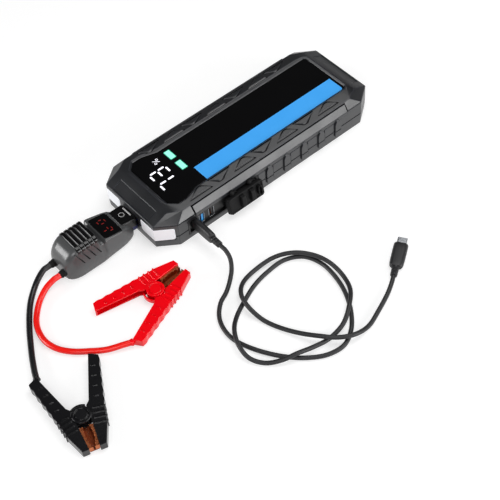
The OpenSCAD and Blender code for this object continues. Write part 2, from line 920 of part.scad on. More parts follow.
module_screw_spots = [for (s = [-1, 1]) [module_x0 + 44, 9.5 * s]];
module_screw_r = 1;
module_boss_r = 3;
module module_top() {
  color(module_grey)
    difference() {
      union() {
        intersection() {
          module_shell();
          translate([-far, -far / 2, module_seam])
            cube(far);
        }
        intersection() {
          module_form(module_wall / 2);
          union() {
            span([grip_x0, -grip_w / 2 - 1, module_h - grip_drop - module_wall],
                 [grip_x1, grip_w / 2 + 1, module_h]);
            translate([0, 0, -module_wall])
              screen_plate(1, screen_t + module_wall);
            for (p = module_screw_spots)
              translate([p.x, p.y, module_seam])
                cylinder(r = module_boss_r, h = far);
          }
        }
      }
      span([grip_x0 + 1, -grip_w / 2, module_h - grip_drop], [grip_x1 - 1, grip_w / 2, module_h + 1]);
      screen_plate(seat_gap, far / 40);
      for (p = module_screw_spots)
        translate([p.x, p.y, module_seam - 1])
          cylinder(r = module_screw_r, h = 8);
    }
}

module module_bottom() {
  color(module_grey)
    difference() {
      union() {
        intersection() {
          module_shell();
          translate([-far, -far / 2, module_seam - far])
            cube(far);
        }
        for (p = module_screw_spots)
          translate([p.x, p.y, module_wall / 2])
            cylinder(r = module_boss_r, h = module_seam - module_wall / 2);
      }
      for (p = module_screw_spots)
        translate([p.x, p.y, -1]) {
          cylinder(r = module_screw_r + 1.2, h = 3);
          cylinder(r = module_screw_r + slide_gap, h = module_seam + 2);
        }
    }
}

module module_grip() {
  pitch = (grip_x1 - grip_x0 - 2 - grip_bar) / (grip_bars - 1);
  color(rubber_black) {
    span([grip_x0 + 1 + seat_gap, -grip_w / 2 + seat_gap, module_h - grip_drop],
         [grip_x1 - 1 - seat_gap, grip_w / 2 - seat_gap, module_h - 0.2]);
    for (i = [0 : grip_bars - 1])
      translate([grip_x0 + 1 + i * pitch, 0, module_h])
        span([seat_gap, -grip_w / 2 + seat_gap, -grip_drop],
             [grip_bar - seat_gap, grip_w / 2 - seat_gap, grip_bar_proud]);
  }
}

module module_window() {
  color(window_black)
    screen_plate(0, screen_t - 0.1);
}

module_board_z = module_wall + 2.5;
module_board_x0 = module_x0 + 8;
module_board_x1 = module_x0 + 39;
module module_board() {
  color(board_green) {
    span([module_board_x0, -11, module_board_z], [module_board_x1, 11, module_board_z + board_t]);
    for (x = [module_board_x0 + 3, module_board_x1 - 3])
      span([x - 1, -11, module_wall], [x + 1, 11, module_board_z]);
  }
}

relay = [14, 9, 15];
module module_relays() {
  color(rubber_black)
    for (s = [-1, 1])
      translate([module_x0 + 22, s * 5.5, module_board_z + board_t + relay.z / 2])
        cube(relay, center = true);
}

module module_screws() {
  color(steel)
    for (p = module_screw_spots)
      translate([p.x, p.y, 0]) {
        cylinder(r = module_screw_r + 1, h = 2);
        translate([0, 0, 1.5])
          cylinder(r = module_screw_r, h = module_seam + 4);
      }
}

// Plug: a housing that holds two contact sleeves, under a black collar
module plug_housing() {
  color(plug_blue)
    difference() {
      union() {
        span([collar_x0 + 0.5, -plug_w / 2, plug_z0 + 0.5], [plug_x1, plug_w / 2, plug_z1]);
        span([plug_x1, -nose_w / 2, socket_z - nose_h / 2],
             [front_x + plug_depth - slide_gap, nose_w / 2, socket_z + nose_h / 2]);
      }
      for (s = [-1, 1])
        bar(sleeve_r + sleeve_wall, collar_x0, front_x + far / 4, s * contact_pitch / 2, socket_z);
    }
}

module plug_collar() {
  color(rubber_black)
    difference() {
      span([collar_x0 + 0.5, -collar_w / 2, socket_z - 1.5], [plug_x1, collar_w / 2, collar_top]);
      span([collar_x0, -plug_w / 2, 0], [front_x, plug_w / 2, plug_z1]);
    }
}

module plug_contacts() {
  color(copper)
    for (s = [-1, 1])
      difference() {
        translate([0, s * contact_pitch / 2, socket_z])
          bar(sleeve_r + sleeve_wall, collar_x0 - contact_tail, front_x + plug_depth - 2 * slide_gap, 0, 0);
        bar(sleeve_r, front_x + 2, front_x + plug_depth + 1, s * contact_pitch / 2, socket_z);
      }
}

module lead_grommets() {
  color(rubber_black)
    for (y = lead_y) {
      bar(lead_d / 2 + 0.6 - seat_gap, module_x0 - 0.4, module_x0 + module_wall + 0.6, y, lead_z);
      translate([module_x0 - 0.4, y, lead_z])
        rotate([0, -90, 0])
          cylinder(r1 = grommet_r, r2 = lead_d / 2 + 0.5, h = grommet_l - 0.4);
    }
}

// Free cords: a closed tube along a smooth curve through route points, straight at both ends
function unit(v) = v / norm(v);
function spline(p0, p1, p2, p3, t) =
  0.5 * (2 * p1 + (p2 - p0) * t + (2 * p0 - 5 * p1 + 4 * p2 - p3) * t * t
         + (3 * p1 - p0 - 3 * p2 + p3) * t * t * t);
function curve(route, steps) =
  let (n = len(route))
  concat(
    [route[0]],
    [for (i = [1 : n - 3]) for (k = [0 : steps - 1])
      spline(route[i - 1], route[i], route[i + 1], route[i + 2], k / steps)],
    [route[n - 2], route[n - 1]]);
function heading(path, i) =
  i == 0 ? unit(path[1] - path[0]) :
  i == len(path) - 1 ? unit(path[i] - path[i - 1]) : unit(path[i + 1] - path[i - 1]);

module tube(path, r, sides) {
  n = len(path);
  rings = [for (i = [0 : n - 1])
    let (h = heading(path, i), side = unit(cross(h, [0, 0, 1])), up = cross(side, h))
    for (k = [0 : sides - 1]) path[i] + r * (cos(360 * k / sides) * side + sin(360 * k / sides) * up)];
  polyhedron(
    points = rings,
    faces = concat(
      [[for (k = [0 : sides - 1]) k]],
      [[for (k = [sides - 1 : -1 : 0]) (n - 1) * sides + k]],
      [for (i = [0 : n - 2]) for (k = [0 : sides - 1])
        [i * sides + k, (i + 1) * sides + k, (i + 1) * sides + (k + 1) % sides]],
      [for (i = [0 : n - 2]) for (k = [0 : sides - 1])
        [i * sides + k, (i + 1) * sides + (k + 1) % sides, i * sides + (k + 1) % sides]]));
}

// The same path, lifted where a tube of radius r would dip below the floor
function grounded(path, r) = [for (p = path) [p.x, p.y, max(p.z, r)]];

// Least gap of a tube to itself, between points more than a given number of points apart
function self_gap(path, d, skip) =
  let (n = len(path))
  min([for (i = [0 : n - 1 - skip]) min([for (j = [i + skip : n - 1]) norm(path[j] - path[i])])]) - d;

// Lead points, measured from the tail of the module
red_points = [
  [-4.5, -8, 9], [-10, -8, 9], [-19, -9, 6.5], [-28, -13, 3.6], [-36, -20, 2.6], [-43, -29, 2.6],
  [-47, -39, 2.6], [-48, -50, 2.6], [-45, -61, 2.6], [-38, -71, 2.6], [-28, -79.8, 2.6],
  [-17.3, -88.2, 3.2], [-5.2, -94.05, 4.3], [-0.62, -96, 4.3]];
red_route = [for (p = red_points) p + [module_x0, 0, 0]];
black_points = [
  [-4.5, 6, 9], [-10, 6, 9], [-18, 3.5, 6.5], [-26, -1, 3.6], [-35, -9, 2.6], [-43, -19, 2.6],
  [-51, -31, 2.6], [-58, -43, 2.7], [-64.6, -55.2, 3.6], [-70.97, -68.39, 4.3], [-72.84, -73.03, 4.3]];
black_route = [for (p = black_points) p + [module_x0, 0, 0]];
// Cable points, measured from the port
usb_points = [
  [0, -33.2, 13.25], [0, -39.2, 13.25], [-1.5, -47.2, 10.8], [-6, -54.2, 7], [-13, -60.2, 4],
  [-22, -66.2, 2.2], [-32, -71.2, 2], [-41, -80.2, 2], [-46, -91.2, 2], [-47, -104.2, 2],
  [-43, -118.2, 2], [-36, -132.2, 2], [-27, -145.2, 2], [-16, -156.2, 2], [-3, -164.2, 2],
  [12, -166.2, 2], [26, -159.2, 2], [38, -146.2, 2], [47, -130.2, 2], [52, -113.2, 2], [53, -96.2, 2],
  [47, -81.2, 2], [33, -73.2, 2], [15, -73.2, 2], [-1, -76.2, 2], [-16, -82.2, 2], [-31, -90.2, 3.2],
  [-42, -100.2, 6], [-49, -113.2, 6.2], [-50, -126.2, 3.6], [-44, -137.2, 2.4], [-34, -145.2, 4.4],
  [-21, -150.2, 6.8], [-7, -152.7, 4], [8, -154.2, 2.2], [24, -152.2, 4], [38, -144.2, 6.8],
  [50.5, -132.2, 5.2], [56.5, -116.2, 4], [56, -101.2, 6.2], [51, -87.2, 6.8], [41, -75.2, 6.8],
  [27, -67.2, 5], [9, -65.2, 2.6], [-7, -69.2, 4], [-17, -79.2, 6.8], [-20, -92.2, 5.4],
  [-18, -107.2, 2], [-13, -122.2, 2.4], [-6, -137.2, 4.4], [2, -150.2, 6.8], [11, -160.2, 6.8],
  [23, -166.7, 6.2], [38, -166.2, 2.4], [54, -160.7, 2], [70, -154.2, 2.4], [80.8, -148.4, 3.25],
  [85.5, -145.2, 3.25]];
usb_route = [for (p = usb_points) p + [usb_c_x, port_y, 0]];

lead_steps = 2;
usb_steps = 2;
lead_sides = 10;
usb_sides = 8;
measure_steps = 8;
echo(usb_self_gap = self_gap(grounded(curve(usb_route, measure_steps), usb_d / 2), usb_d, 2 * measure_steps));

module red_lead() {
  color(clamp_red)
    tube(curve(red_route, lead_steps), lead_d / 2, lead_sides);
}

module black_lead() {
  color(clamp_black)
    tube(curve(black_route, lead_steps), lead_d / 2, lead_sides);
}

module usb_cable() {
  color(rubber_black)
    tube(grounded(curve(usb_route, usb_steps), usb_d / 2), usb_d / 2, usb_sides);
}

// Clamp, lying on its side with the pivot upright at its own origin and its jaws
// towards +X. The fixed half with the lead is on the -Y side.
rest_z = 0.6;
nose_in = 4;
nose_out = 9.5;
tail_in = 21;
tail_out = 28;
clamp_z1 = rest_z + clamp_t;
clamp_mid = rest_z + clamp_t / 2;
lug_t = 0.9;
lug_gap = 0.3;
lug_r = 6.5;
jaw_t = 3;
half_back = [[14, 15.5], [-2, 18.6]];
lug_front = half_back[0] + (half_back[1] - half_back[0]) * 0.4 - [0, clamp_wall / 2];

// Back of the handle, with low waves for the fingers
handle_end = [4 - clamp_tail, tail_out];
handle_dir = unit(handle_end - half_back[1]);
handle_out = [handle_dir.y, -handle_dir.x];
wave_count = 5;
wave_steps = 6;
wave_h = 0.7;
function on_handle(t) = half_back[1] + (handle_end - half_back[1]) * t;
function waves() =
  let (n = wave_count * wave_steps)
  [for (i = [0 : n]) on_handle(i / n) + handle_out * wave_h * (1 - cos(360 * i / wave_steps)) / 2];

module half_outline() {
  polygon(concat(
    [[clamp_nose, nose_in], [clamp_nose, nose_out], half_back[0]],
    waves(),
    [[-clamp_tail, tail_in], [-10, 9], [-6.5, 5.8], [9, 5.5]]));
}

// Hollow of a half: its outline pulled in by the wall, open towards the other half
module half_hollow() {
  offset(delta = -clamp_wall)
    polygon([[clamp_nose, -far], [clamp_nose, nose_out], half_back[0], half_back[1],
             handle_end, [-clamp_tail, tail_in], [-clamp_tail, -far]]);
}

module half_channel() {
  difference() {
    translate([0, 0, rest_z])
      linear_extrude(clamp_t)
        half_outline();
    translate([0, 0, rest_z + clamp_wall])
      linear_extrude(clamp_t - 2 * clamp_wall)
        half_hollow();
  }
}

// Both faces of the clamp, one mirrored from the other
module both_faces() {
  children();
  translate([0, 0, 2 * clamp_mid])
    mirror([0, 0, 1])
      children();
}

// Ribs over the back and the faces of a half, at the pivot
clamp_ribs = 4;
clamp_rib = [1.4, 0.8];
rib_reach = 9;
rib_face = 0.5;
rib_edge = 1.5;
module half_ribs() {
  dir = unit(half_back[0] - half_back[1]);
  pitch = (norm(half_back[0] - half_back[1]) - 2 * rib_edge) / (clamp_ribs - 1);
  for (i = [0 : clamp_ribs - 1]) {
    p = half_back[1] + dir * (rib_edge + i * pitch);
    translate([p.x, p.y, 0])
      rotate([0, 0, atan2(dir.y, dir.x)])
        translate([-clamp_rib.x / 2, 0, 0]) {
          span([0, -clamp_wall / 2, rest_z], [clamp_rib.x, clamp_rib.y, clamp_z1]);
          both_faces()
            span([0, -rib_reach, rest_z - rib_face], [clamp_rib.x, clamp_rib.y, rest_z + clamp_wall / 2]);
        }
  }
}

// Short grip marks along the handle, on both faces
mark_count = 4;
mark_size = [0.9, 3.2];
mark_in = 5.2;
mark_proud = 0.3;
module half_marks() {
  for (i = [1 : mark_count]) {
    p = on_handle(i / (mark_count + 1)) - handle_out * mark_in;
    translate([p.x, p.y, 0])
      rotate([0, 0, atan2(handle_dir.y, handle_dir.x)])
        both_faces()
          span([-mark_size.x / 2, -mark_size.y / 2, rest_z - mark_proud],
               [mark_size.x / 2, mark_size.y / 2, rest_z + clamp_wall / 2]);
  }
}

// Skin of the boss that covers the pin on the upper face
pin_skin = 1;
pin_top = clamp_z1 + rest_z - pin_skin;
ring_r = 5.4;
ring_w = 0.6;
ring_d = 0.4;
module moving_half() {
  difference() {
    union() {
      half_channel();
      half_ribs();
      half_marks();
      both_faces()
        cylinder(r = boss_r, h = rest_z + clamp_wall);
    }
    translate([0, 0, -far])
      cylinder(r = pin_r + pin_gap, h = far + pin_top + pin_gap);
    both_faces()
      difference() {
        translate([0, 0, -1])
          cylinder(r = ring_r, h = 1 + ring_d);
        translate([0, 0, -2])
          cylinder(r = ring_r - ring_w, h = far);
      }
  }
}

lug_z = rest_z + clamp_wall + lug_gap;
guard_r = 10.5;
guard_t = 1.4;
entry_r = 3.2;
entry_l = 2.5;
entry_at = [0.5 - clamp_tail, tail_in];
module fixed_half(entry) {
  mirror([0, 1, 0])
    difference() {
      union() {
        half_channel();
        half_ribs();
        half_marks();
        both_faces()
          translate([0, 0, lug_z])
            linear_extrude(lug_t) {
              circle(lug_r);
              polygon([[-lug_r, 0], [lug_r, 0], lug_front, half_back[1] - [0, clamp_wall / 2]]);
            }
        translate([0, 0, lug_z])
          intersection() {
            difference() {
              cylinder(r = guard_r, h = 2 * (clamp_mid - lug_z));
              translate([0, 0, -1])
                cylinder(r = guard_r - guard_t, h = far);
            }
            linear_extrude(far)
              polygon([[0, 0], far * [cos(100), sin(100)], far * [-1, 1], far * [cos(212), sin(212)]]);
          }
        translate([entry_at.x, entry_at.y, clamp_mid])
          rotate([0, -90, 0])
            rotate([entry, 0, 0])
              cylinder(r = entry_r, h = entry_l);
      }
      both_faces()
        translate([0, 0, -1])
          cylinder(r = boss_r + lug_gap, h = lug_z + 1);
      cylinder(r = pin_r, h = far, center = true);
    }
}

// Toothed copper strip bent along the inside of a jaw
tooth_count = 6;
tooth_h = 0.8;
jaw_bow = 1.3;
jaw_root = [9.5, 2.2];
jaw_tip_y = 0.7;
module jaw_strip() {
  x1 = clamp_nose - clamp_wall;
  tip = [x1, jaw_tip_y];
  step = (tip - jaw_root) / tooth_count;
  back = (x1 - half_back[0].x) / (clamp_nose - half_back[0].x);
  wall_y = half_back[0].y + back * (nose_out - half_back[0].y) - clamp_wall - 0.4;
  translate([0, 0, rest_z + clamp_wall])
    linear_extrude(clamp_t - 2 * clamp_wall)
      polygon(concat(
        [for (i = [0 : tooth_count - 1]) for (k = [0, 1])
          jaw_root + step * (i + k / 2) + [0, k * tooth_h + jaw_bow * sin(180 * (i + k / 2) / tooth_count)]],
        [tip, [x1, wall_y], [x1 - jaw_t, wall_y], [x1 - jaw_t, jaw_tip_y + jaw_t + tooth_h],
         (jaw_root + tip) / 2 + [0, jaw_bow + jaw_t + tooth_h],
         jaw_root + [jaw_t, jaw_t + 1], jaw_root + [jaw_t, 5.4], jaw_root + [0, 5.4]]));
}

module pivot_pin() {
  cylinder(r = pin_r, h = pin_top);
}

// Torsion spring round the pin, one leg into each handle
spring_turns = 1.25;
spring_pitch = 0.9;
spring_r = 4.2;
spring_start = 290;
leg_l = [7, 13];
spring_steps = 8;
module torsion_spring() {
  n = spring_turns * spring_steps;
  z0 = clamp_mid - spring_turns * spring_pitch / 2;
  coil = [for (i = [0 : n]) let (a = spring_start + 360 * i / spring_steps)
    [spring_r * cos(a), spring_r * sin(a), z0 + i * spring_pitch / spring_steps]];
  a0 = spring_start + 90;
  a1 = a0 + 360 * spring_turns;
  path = concat(
    [coil[0] - leg_l[0] * [cos(a0), sin(a0), 0]],
    coil,
    [coil[n] + leg_l[1] * [cos(a1), sin(a1), 0]]);
  tube(path, spring_wire / 2, 6);
}

red_pivot = [module_x0 + 44.3, -70.6];
red_turn = 7;
red_entry = 30;
black_pivot = [module_x0 - 67, -125];
black_turn = 253;
black_entry = 5;

module at_red() {
  translate([red_pivot.x, red_pivot.y, 0])
    rotate([0, 0, red_turn])
      children();
}

module at_black() {
  translate([black_pivot.x, black_pivot.y, 0])
    rotate([0, 0, black_turn])
      children();
}

module red_fixed_half() {
  color(clamp_red)
    at_red()
      fixed_half(red_entry);
}

module red_moving_half() {
  color(clamp_red)
    at_red()
      moving_half();
}

module red_fixed_jaw() {
  color(copper)
    at_red()
      mirror([0, 1, 0])
        jaw_strip();
}

module red_moving_jaw() {
  color(copper)
    at_red()
      jaw_strip();
}

module red_pin() {
  color(steel)
    at_red()
      pivot_pin();
}

module red_spring() {
  color(steel)
    at_red()
      torsion_spring();
}

module black_fixed_half() {
  color(clamp_black)
    at_black()
      fixed_half(black_entry);
}

module black_moving_half() {
  color(clamp_black)
    at_black()
      moving_half();
}

module black_fixed_jaw() {
  color(copper)
    at_black()
      mirror([0, 1, 0])
        jaw_strip();
}

module black_moving_jaw() {
  color(copper)
    at_black()
      jaw_strip();
}

module black_pin() {
  color(steel)
    at_black()
      pivot_pin();
}

module black_spring() {
  color(steel)
    at_black()
      torsion_spring();
}

// USB-C plugs: a metal shell in a moulded grip with a tapered strain relief
grip_size = [6.5, 12];
grip_l = 24;
relief_l = 9;
relief_r = 3;
shell_size = [2.4, 8.25];
shell_wall = 0.45;
shell_l = 6.6;
shell_root = 4;

// Both are drawn along -Y from the grip's front face
module usb_grip() {
  difference() {
    union() {
      slot_bar(grip_size, -grip_l, 0);
      translate([0, -grip_l, 0])
        rotate([90, 0, 0])
          cylinder(r1 = relief_r, r2 = usb_d / 2 + 0.4, h = relief_l);
    }
    slot_bar(shell_size, -shell_root, 1);
  }
}

module usb_shell() {
  difference() {
    slot_bar(shell_size, -shell_root, shell_l);
    slot_bar(shell_size - [2, 2] * shell_wall, 0.5, shell_l + 1);
  }
}

grip_y = usb_route[0].y + grip_l + relief_l;
module at_near_plug() {
  translate([usb_c_x, grip_y, port_z])
    children();
}

far_turn = -56;
module at_far_plug() {
  tail = usb_route[len(usb_route) - 1];
  translate([tail.x, tail.y, grip_size.x / 2])
    rotate([0, 0, far_turn])
      translate([0, grip_l + relief_l, 0])
        rotate([0, 90, 0])
          children();
}

module usb_near_grip() {
  color(rubber_black)
    at_near_plug()
      usb_grip();
}

module usb_near_plug() {
  color(steel)
    at_near_plug()
      usb_shell();
}

module usb_far_grip() {
  color(rubber_black)
    at_far_plug()
      usb_grip();
}

module usb_far_plug() {
  color(steel)
    at_far_plug()
      usb_shell();
}

top_shell();
bottom_shell();
display_window();
label_stripe();
display_module();
near_lamp_lens();
far_lamp_lens();
lamp_boards();
lead_socket();
socket_contacts();
power_bars();
battery_cells();
cell_link_board();
lower_foam();
upper_foam();
main_board();
port_bezel();
usb_a_port_1();
usb_a_port_2();
usb_c_port();
port_cover();
port_flap();
power_button();
button_switch();
case_screws();
screw_plugs();
module_top();
module_bottom();
module_grip();
module_window();
module_board();
module_relays();
module_screws();
plug_housing();
plug_collar();
plug_contacts();
lead_grommets();
red_lead();
red_fixed_half();
red_fixed_jaw();
red_pin();
red_spring();
red_moving_half();
red_moving_jaw();
black_lead();
black_fixed_half();
black_fixed_jaw();
black_pin();
black_spring();
black_moving_half();
black_moving_jaw();
usb_cable();
usb_near_grip();
usb_near_plug();
usb_far_grip();
usb_far_plug();
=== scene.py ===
"""Looks of a jump starter pack with its clamp leads and USB cable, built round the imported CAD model."""

import math

import bmesh
import bpy
from mathutils import Matrix, Vector


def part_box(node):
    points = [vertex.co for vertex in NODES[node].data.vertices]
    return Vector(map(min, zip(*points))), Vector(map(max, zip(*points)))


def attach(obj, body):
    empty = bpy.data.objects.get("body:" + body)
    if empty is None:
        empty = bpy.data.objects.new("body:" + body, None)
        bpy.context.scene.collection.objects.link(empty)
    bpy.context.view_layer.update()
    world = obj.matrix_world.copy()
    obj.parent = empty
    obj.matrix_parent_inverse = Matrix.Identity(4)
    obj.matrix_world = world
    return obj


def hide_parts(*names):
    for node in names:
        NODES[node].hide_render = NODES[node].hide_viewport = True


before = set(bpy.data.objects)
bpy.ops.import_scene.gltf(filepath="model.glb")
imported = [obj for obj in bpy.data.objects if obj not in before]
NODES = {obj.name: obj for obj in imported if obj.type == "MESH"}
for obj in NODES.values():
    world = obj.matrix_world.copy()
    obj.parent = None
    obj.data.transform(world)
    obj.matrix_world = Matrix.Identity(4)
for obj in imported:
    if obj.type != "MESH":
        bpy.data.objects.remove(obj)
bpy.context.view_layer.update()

bl_info = {
    "name": "Jump starter pack",
    "version": (1, 0, 0),
    "blender": (4, 5, 0),
    "location": "3D View > Sidebar > Jump starter",
    "description": "Builds the pack, its clamp leads and its USB cable piece by piece",
    "category": "Object",
}

MM = 0.001


def linear(code):
    """Linear colour of an sRGB hex value."""
    parts = [int(code[i:i + 2], 16) / 255 for i in (1, 3, 5)]
    return tuple(c / 12.92 if c <= 0.04045 else ((c + 0.055) / 1.055) ** 2.4 for c in parts)


def shade(colour, factor):
    """A linear colour made darker or paler, with its alpha."""
    return tuple(min(1.0, c * factor) for c in colour[:3]) + (1.0,)


# Routes of the cords in metres: the points of the CAD solids
RED_ROUTE = [Vector(p) * MM for p in (
    (-197.5, -8, 9), (-203, -8, 9), (-212, -9, 6.5), (-221, -13, 3.6), (-229, -20, 2.6),
    (-236, -29, 2.6), (-240, -39, 2.6), (-241, -50, 2.6), (-238, -61, 2.6), (-231, -71, 2.6),
    (-221, -79.8, 2.6), (-210.3, -88.2, 3.2), (-198.2, -94.05, 4.3), (-193.62, -96, 4.3))]
BLACK_ROUTE = [Vector(p) * MM for p in (
    (-197.5, 6, 9), (-203, 6, 9), (-211, 3.5, 6.5), (-219, -1, 3.6), (-228, -9, 2.6),
    (-236, -19, 2.6), (-244, -31, 2.6), (-251, -43, 2.7), (-257.6, -55.2, 3.6), (-263.97, -68.39, 4.3),
    (-265.84, -73.03, 4.3))]
USB_ROUTE = [Vector(p) * MM for p in (
    (-85, -75, 13.25), (-85, -81, 13.25), (-86.5, -89, 10.8), (-91, -96, 7), (-98, -102, 4),
    (-107, -108, 2.2), (-117, -113, 2), (-126, -122, 2), (-131, -133, 2), (-132, -146, 2),
    (-128, -160, 2), (-121, -174, 2), (-112, -187, 2), (-101, -198, 2), (-88, -206, 2),
    (-73, -208, 2), (-59, -201, 2), (-47, -188, 2), (-38, -172, 2), (-33, -155, 2),
    (-32, -138, 2), (-38, -123, 2), (-52, -115, 2), (-70, -115, 2), (-86, -118, 2),
    (-101, -124, 2), (-116, -132, 3.2), (-127, -142, 6), (-134, -155, 6.2), (-135, -168, 3.6),
    (-129, -179, 2.4), (-119, -187, 4.4), (-106, -192, 6.8), (-92, -194.5, 4), (-77, -196, 2.2),
    (-61, -194, 4), (-47, -186, 6.8), (-34.5, -174, 5.2), (-28.5, -158, 4), (-29, -143, 6.2),
    (-34, -129, 6.8), (-44, -117, 6.8), (-58, -109, 5), (-76, -107, 2.6), (-92, -111, 4),
    (-102, -121, 6.8), (-105, -134, 5.4), (-103, -149, 2), (-98, -164, 2.4), (-91, -179, 4.4),
    (-83, -192, 6.8), (-74, -202, 6.8), (-62, -208.5, 6.2), (-47, -208, 2.4), (-31, -202.5, 2),
    (-15, -196, 2.4), (-4.2, -190.2, 3.25), (0.5, -187, 3.25))]


def hue(name, description, code):
    """A colour setting that starts from an sRGB hex value."""
    return bpy.props.FloatVectorProperty(
        name=name, description=description, subtype="COLOR", default=linear(code))


def measure(name, description, value, unit="NONE"):
    """A number setting."""
    return bpy.props.FloatProperty(name=name, description=description, unit=unit, default=value)


class CaseLook(bpy.types.PropertyGroup):
    """Sizes and colours of the pack."""

    case_colour: hue("Case", "Colour of the moulded case", "#1E1F22")
    window_colour: hue("Window", "Colour behind the acrylic window", "#050506")
    stripe_colour: hue("Stripe", "Colour of the printed film stripe", "#3FA9FA")
    lens_colour: hue("Lamp lens", "Colour of the diffusing corner lenses", "#F1F3F7")
    figure_colour: hue("Figures", "Colour of the lit figures", "#F2F2FA")
    tile_colour: hue("Tiles", "Colour of the two lit tiles", "#8FF0D0")
    rubber_colour: hue("Rubber", "Colour of the port cover and bezel", "#0D0D0E")
    edge_round: measure("Edge rounding", "Rounding of the case edges", 0.45 * MM, "LENGTH")


class LeadLook(bpy.types.PropertyGroup):
    """Sizes and colours of the lead set."""

    module_colour: hue("Module", "Colour of the module's housing", "#4A4B4C")
    red_colour: hue("Red clamp", "Colour of the red clamp", "#F00010")
    black_colour: hue("Black clamp", "Colour of the black clamp and its lead", "#141416")
    red_lead_colour: hue("Red lead", "Colour of the red silicone lead", "#F01A12")
    copper_colour: hue("Copper", "Colour of the copper-plated jaws", "#C8744A")
    plug_colour: hue("Plug", "Colour of the two-pole plug housing", "#262B66")
    thickness: measure("Lead diameter", "Diameter of a clamp lead", 5 * MM, "LENGTH")


class CableLook(bpy.types.PropertyGroup):
    """Sizes and colours of the USB cable."""

    jacket_colour: hue("Jacket", "Colour of the cable and its grips", "#1C1C1E")
    thickness: measure("Cable diameter", "Diameter of the USB cable", 3.8 * MM, "LENGTH")


class StageLook(bpy.types.PropertyGroup):
    """Light and floor."""

    floor_colour: hue("Floor", "Colour of the floor", "#C4C4C4")
    top_power: measure("Overhead light", "Power of the overhead soft box in watts", 6.6)
    side_power: measure("Side light", "Power of the low soft box on the port side in watts", 9.5)
    front_power: measure("Front light", "Power of the soft box by the camera in watts", 4.5)
    left_power: measure("Left light", "Power of the small soft box off the lead end in watts", 12.0)
    room: measure("Room light", "Strength of the light from all round", 0.06)


# Places and turns

AXES = [Vector(row) for row in Matrix.Identity(3)]
X, Y, Z = AXES


def mm(x, y, z):
    """A point or a size given in mm."""
    return Vector((x, y, z)) * MM


def shift(x, y, z):
    """A move given in mm."""
    return Matrix.Translation(mm(x, y, z))


def spin(degrees, axis):
    """A turn about an axis."""
    return Matrix.Rotation(math.radians(degrees), 4, axis)


# Selecting and finishing

def object_mode():
    """Back to object mode from any other."""
    if bpy.context.mode != "OBJECT":
        bpy.ops.object.mode_set(mode="OBJECT")


def clear_selection():
    """Object mode with nothing selected, ready for a new primitive."""
    object_mode()
    bpy.ops.object.select_all(action="DESELECT")


def only(piece):
    """Makes one object the only selected and active one, in object mode."""
    clear_selection()
    piece.select_set(True)
    bpy.context.view_layer.objects.active = piece


def edit(piece):
    """Edit mode on one object with all of it selected."""
    only(piece)
    bpy.ops.object.mode_set(mode="EDIT")
    bpy.ops.mesh.select_all(action="SELECT")


def pick(piece, kind, test):
    """In edit mode, selects the faces, edges or vertices whose middle and normal pass a test."""
    bpy.ops.mesh.select_mode(type={"faces": "FACE", "edges": "EDGE", "verts": "VERT"}[kind])
    bpy.ops.mesh.select_all(action="DESELECT")
    mesh = bmesh.from_edit_mesh(piece.data)
    mesh.normal_update()
    for part in getattr(mesh, kind):
        if kind == "verts":
            middle, normal = part.co, part.normal
        elif kind == "edges":
            middle = (part.verts[0].co + part.verts[1].co) / 2
            normal = part.verts[1].co - part.verts[0].co
        else:
            middle, normal = part.calc_center_median(), part.normal
        if test(middle, normal):
            part.select_set(True)
    mesh.select_flush_mode()
    bmesh.update_edit_mesh(piece.data)


def apply(piece, kind, **settings):
    """Adds a modifier with its settings and applies it."""
    only(piece)
    modifier = piece.modifiers.new(kind.lower(), kind)
    for key, value in settings.items():
        setattr(modifier, key, value)
    bpy.ops.object.modifier_apply(modifier=modifier.name)


def weighted(piece, sharp):
    """Flat faces look flat, and edges blunter than an angle look smooth."""
    bpy.ops.object.shade_smooth_by_angle(angle=math.radians(sharp))
    apply(piece, "WEIGHTED_NORMAL", keep_sharp=True, weight=60)


def rounded(piece, width, segments=2, sharp=30.0, material=-1):
    """Rounds the sharp edges of a piece and keeps its flat faces looking flat."""
    apply(piece, "BEVEL", width=width, segments=segments, limit_method="ANGLE",
          angle_limit=math.radians(sharp), use_clamp_overlap=False, material=material,
          miter_outer="MITER_ARC", miter_inner="MITER_SHARP")
    weighted(piece, 50)


def smooth_again(piece):
    """Flat faces flat and round ones smooth after a cut."""
    only(piece)
    bpy.ops.mesh.customdata_custom_splitnormals_clear()
    weighted(piece, 30)


def coat(piece, *materials):
    """Adds materials to a piece, in the order of its material slots."""
    for material in materials:
        piece.data.materials.append(material)


def settle(piece, body, finish, slot, *nodes):
    """Gives a piece its finish, its body and the CAD nodes that it stands for; its slot argument is not
    used.
    """
    clear_selection()
    if finish is not None:
        piece.data.materials.clear()
        coat(piece, finish)
    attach(piece, body)
    if nodes:
        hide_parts(*nodes)
    return piece


def new_copy(name, mesh):
    """A new object at the origin with its own copy of a mesh."""
    piece = bpy.data.objects.new(name, mesh.copy())
    piece.data.name = name
    bpy.context.scene.collection.objects.link(piece)
    return piece


def clean(piece, gap, whole=True):
    """Merges points closer than a gap and, if whole, joins level triangles into whole faces."""
    edit(piece)
    bpy.ops.mesh.remove_doubles(threshold=gap)
    if whole:
        bpy.ops.mesh.dissolve_limited(angle_limit=math.radians(1.0))
    object_mode()


def cad_copy(node, name, whole=True):
    """A copy of a CAD solid, its loose triangles merged and, if whole, joined into whole faces."""
    piece = new_copy(name, NODES[node].data)
    piece.data.materials.clear()
    clean(piece, 2e-6, whole)
    return piece


def eased(node, name, body, finish, slot, width, segments=2, sharp=30.0):
    """A finished copy of a CAD solid with its edges rounded to a width in mm."""
    piece = cad_copy(node, name)
    rounded(piece, width * MM, segments, sharp)
    return settle(piece, body, finish, slot, node)


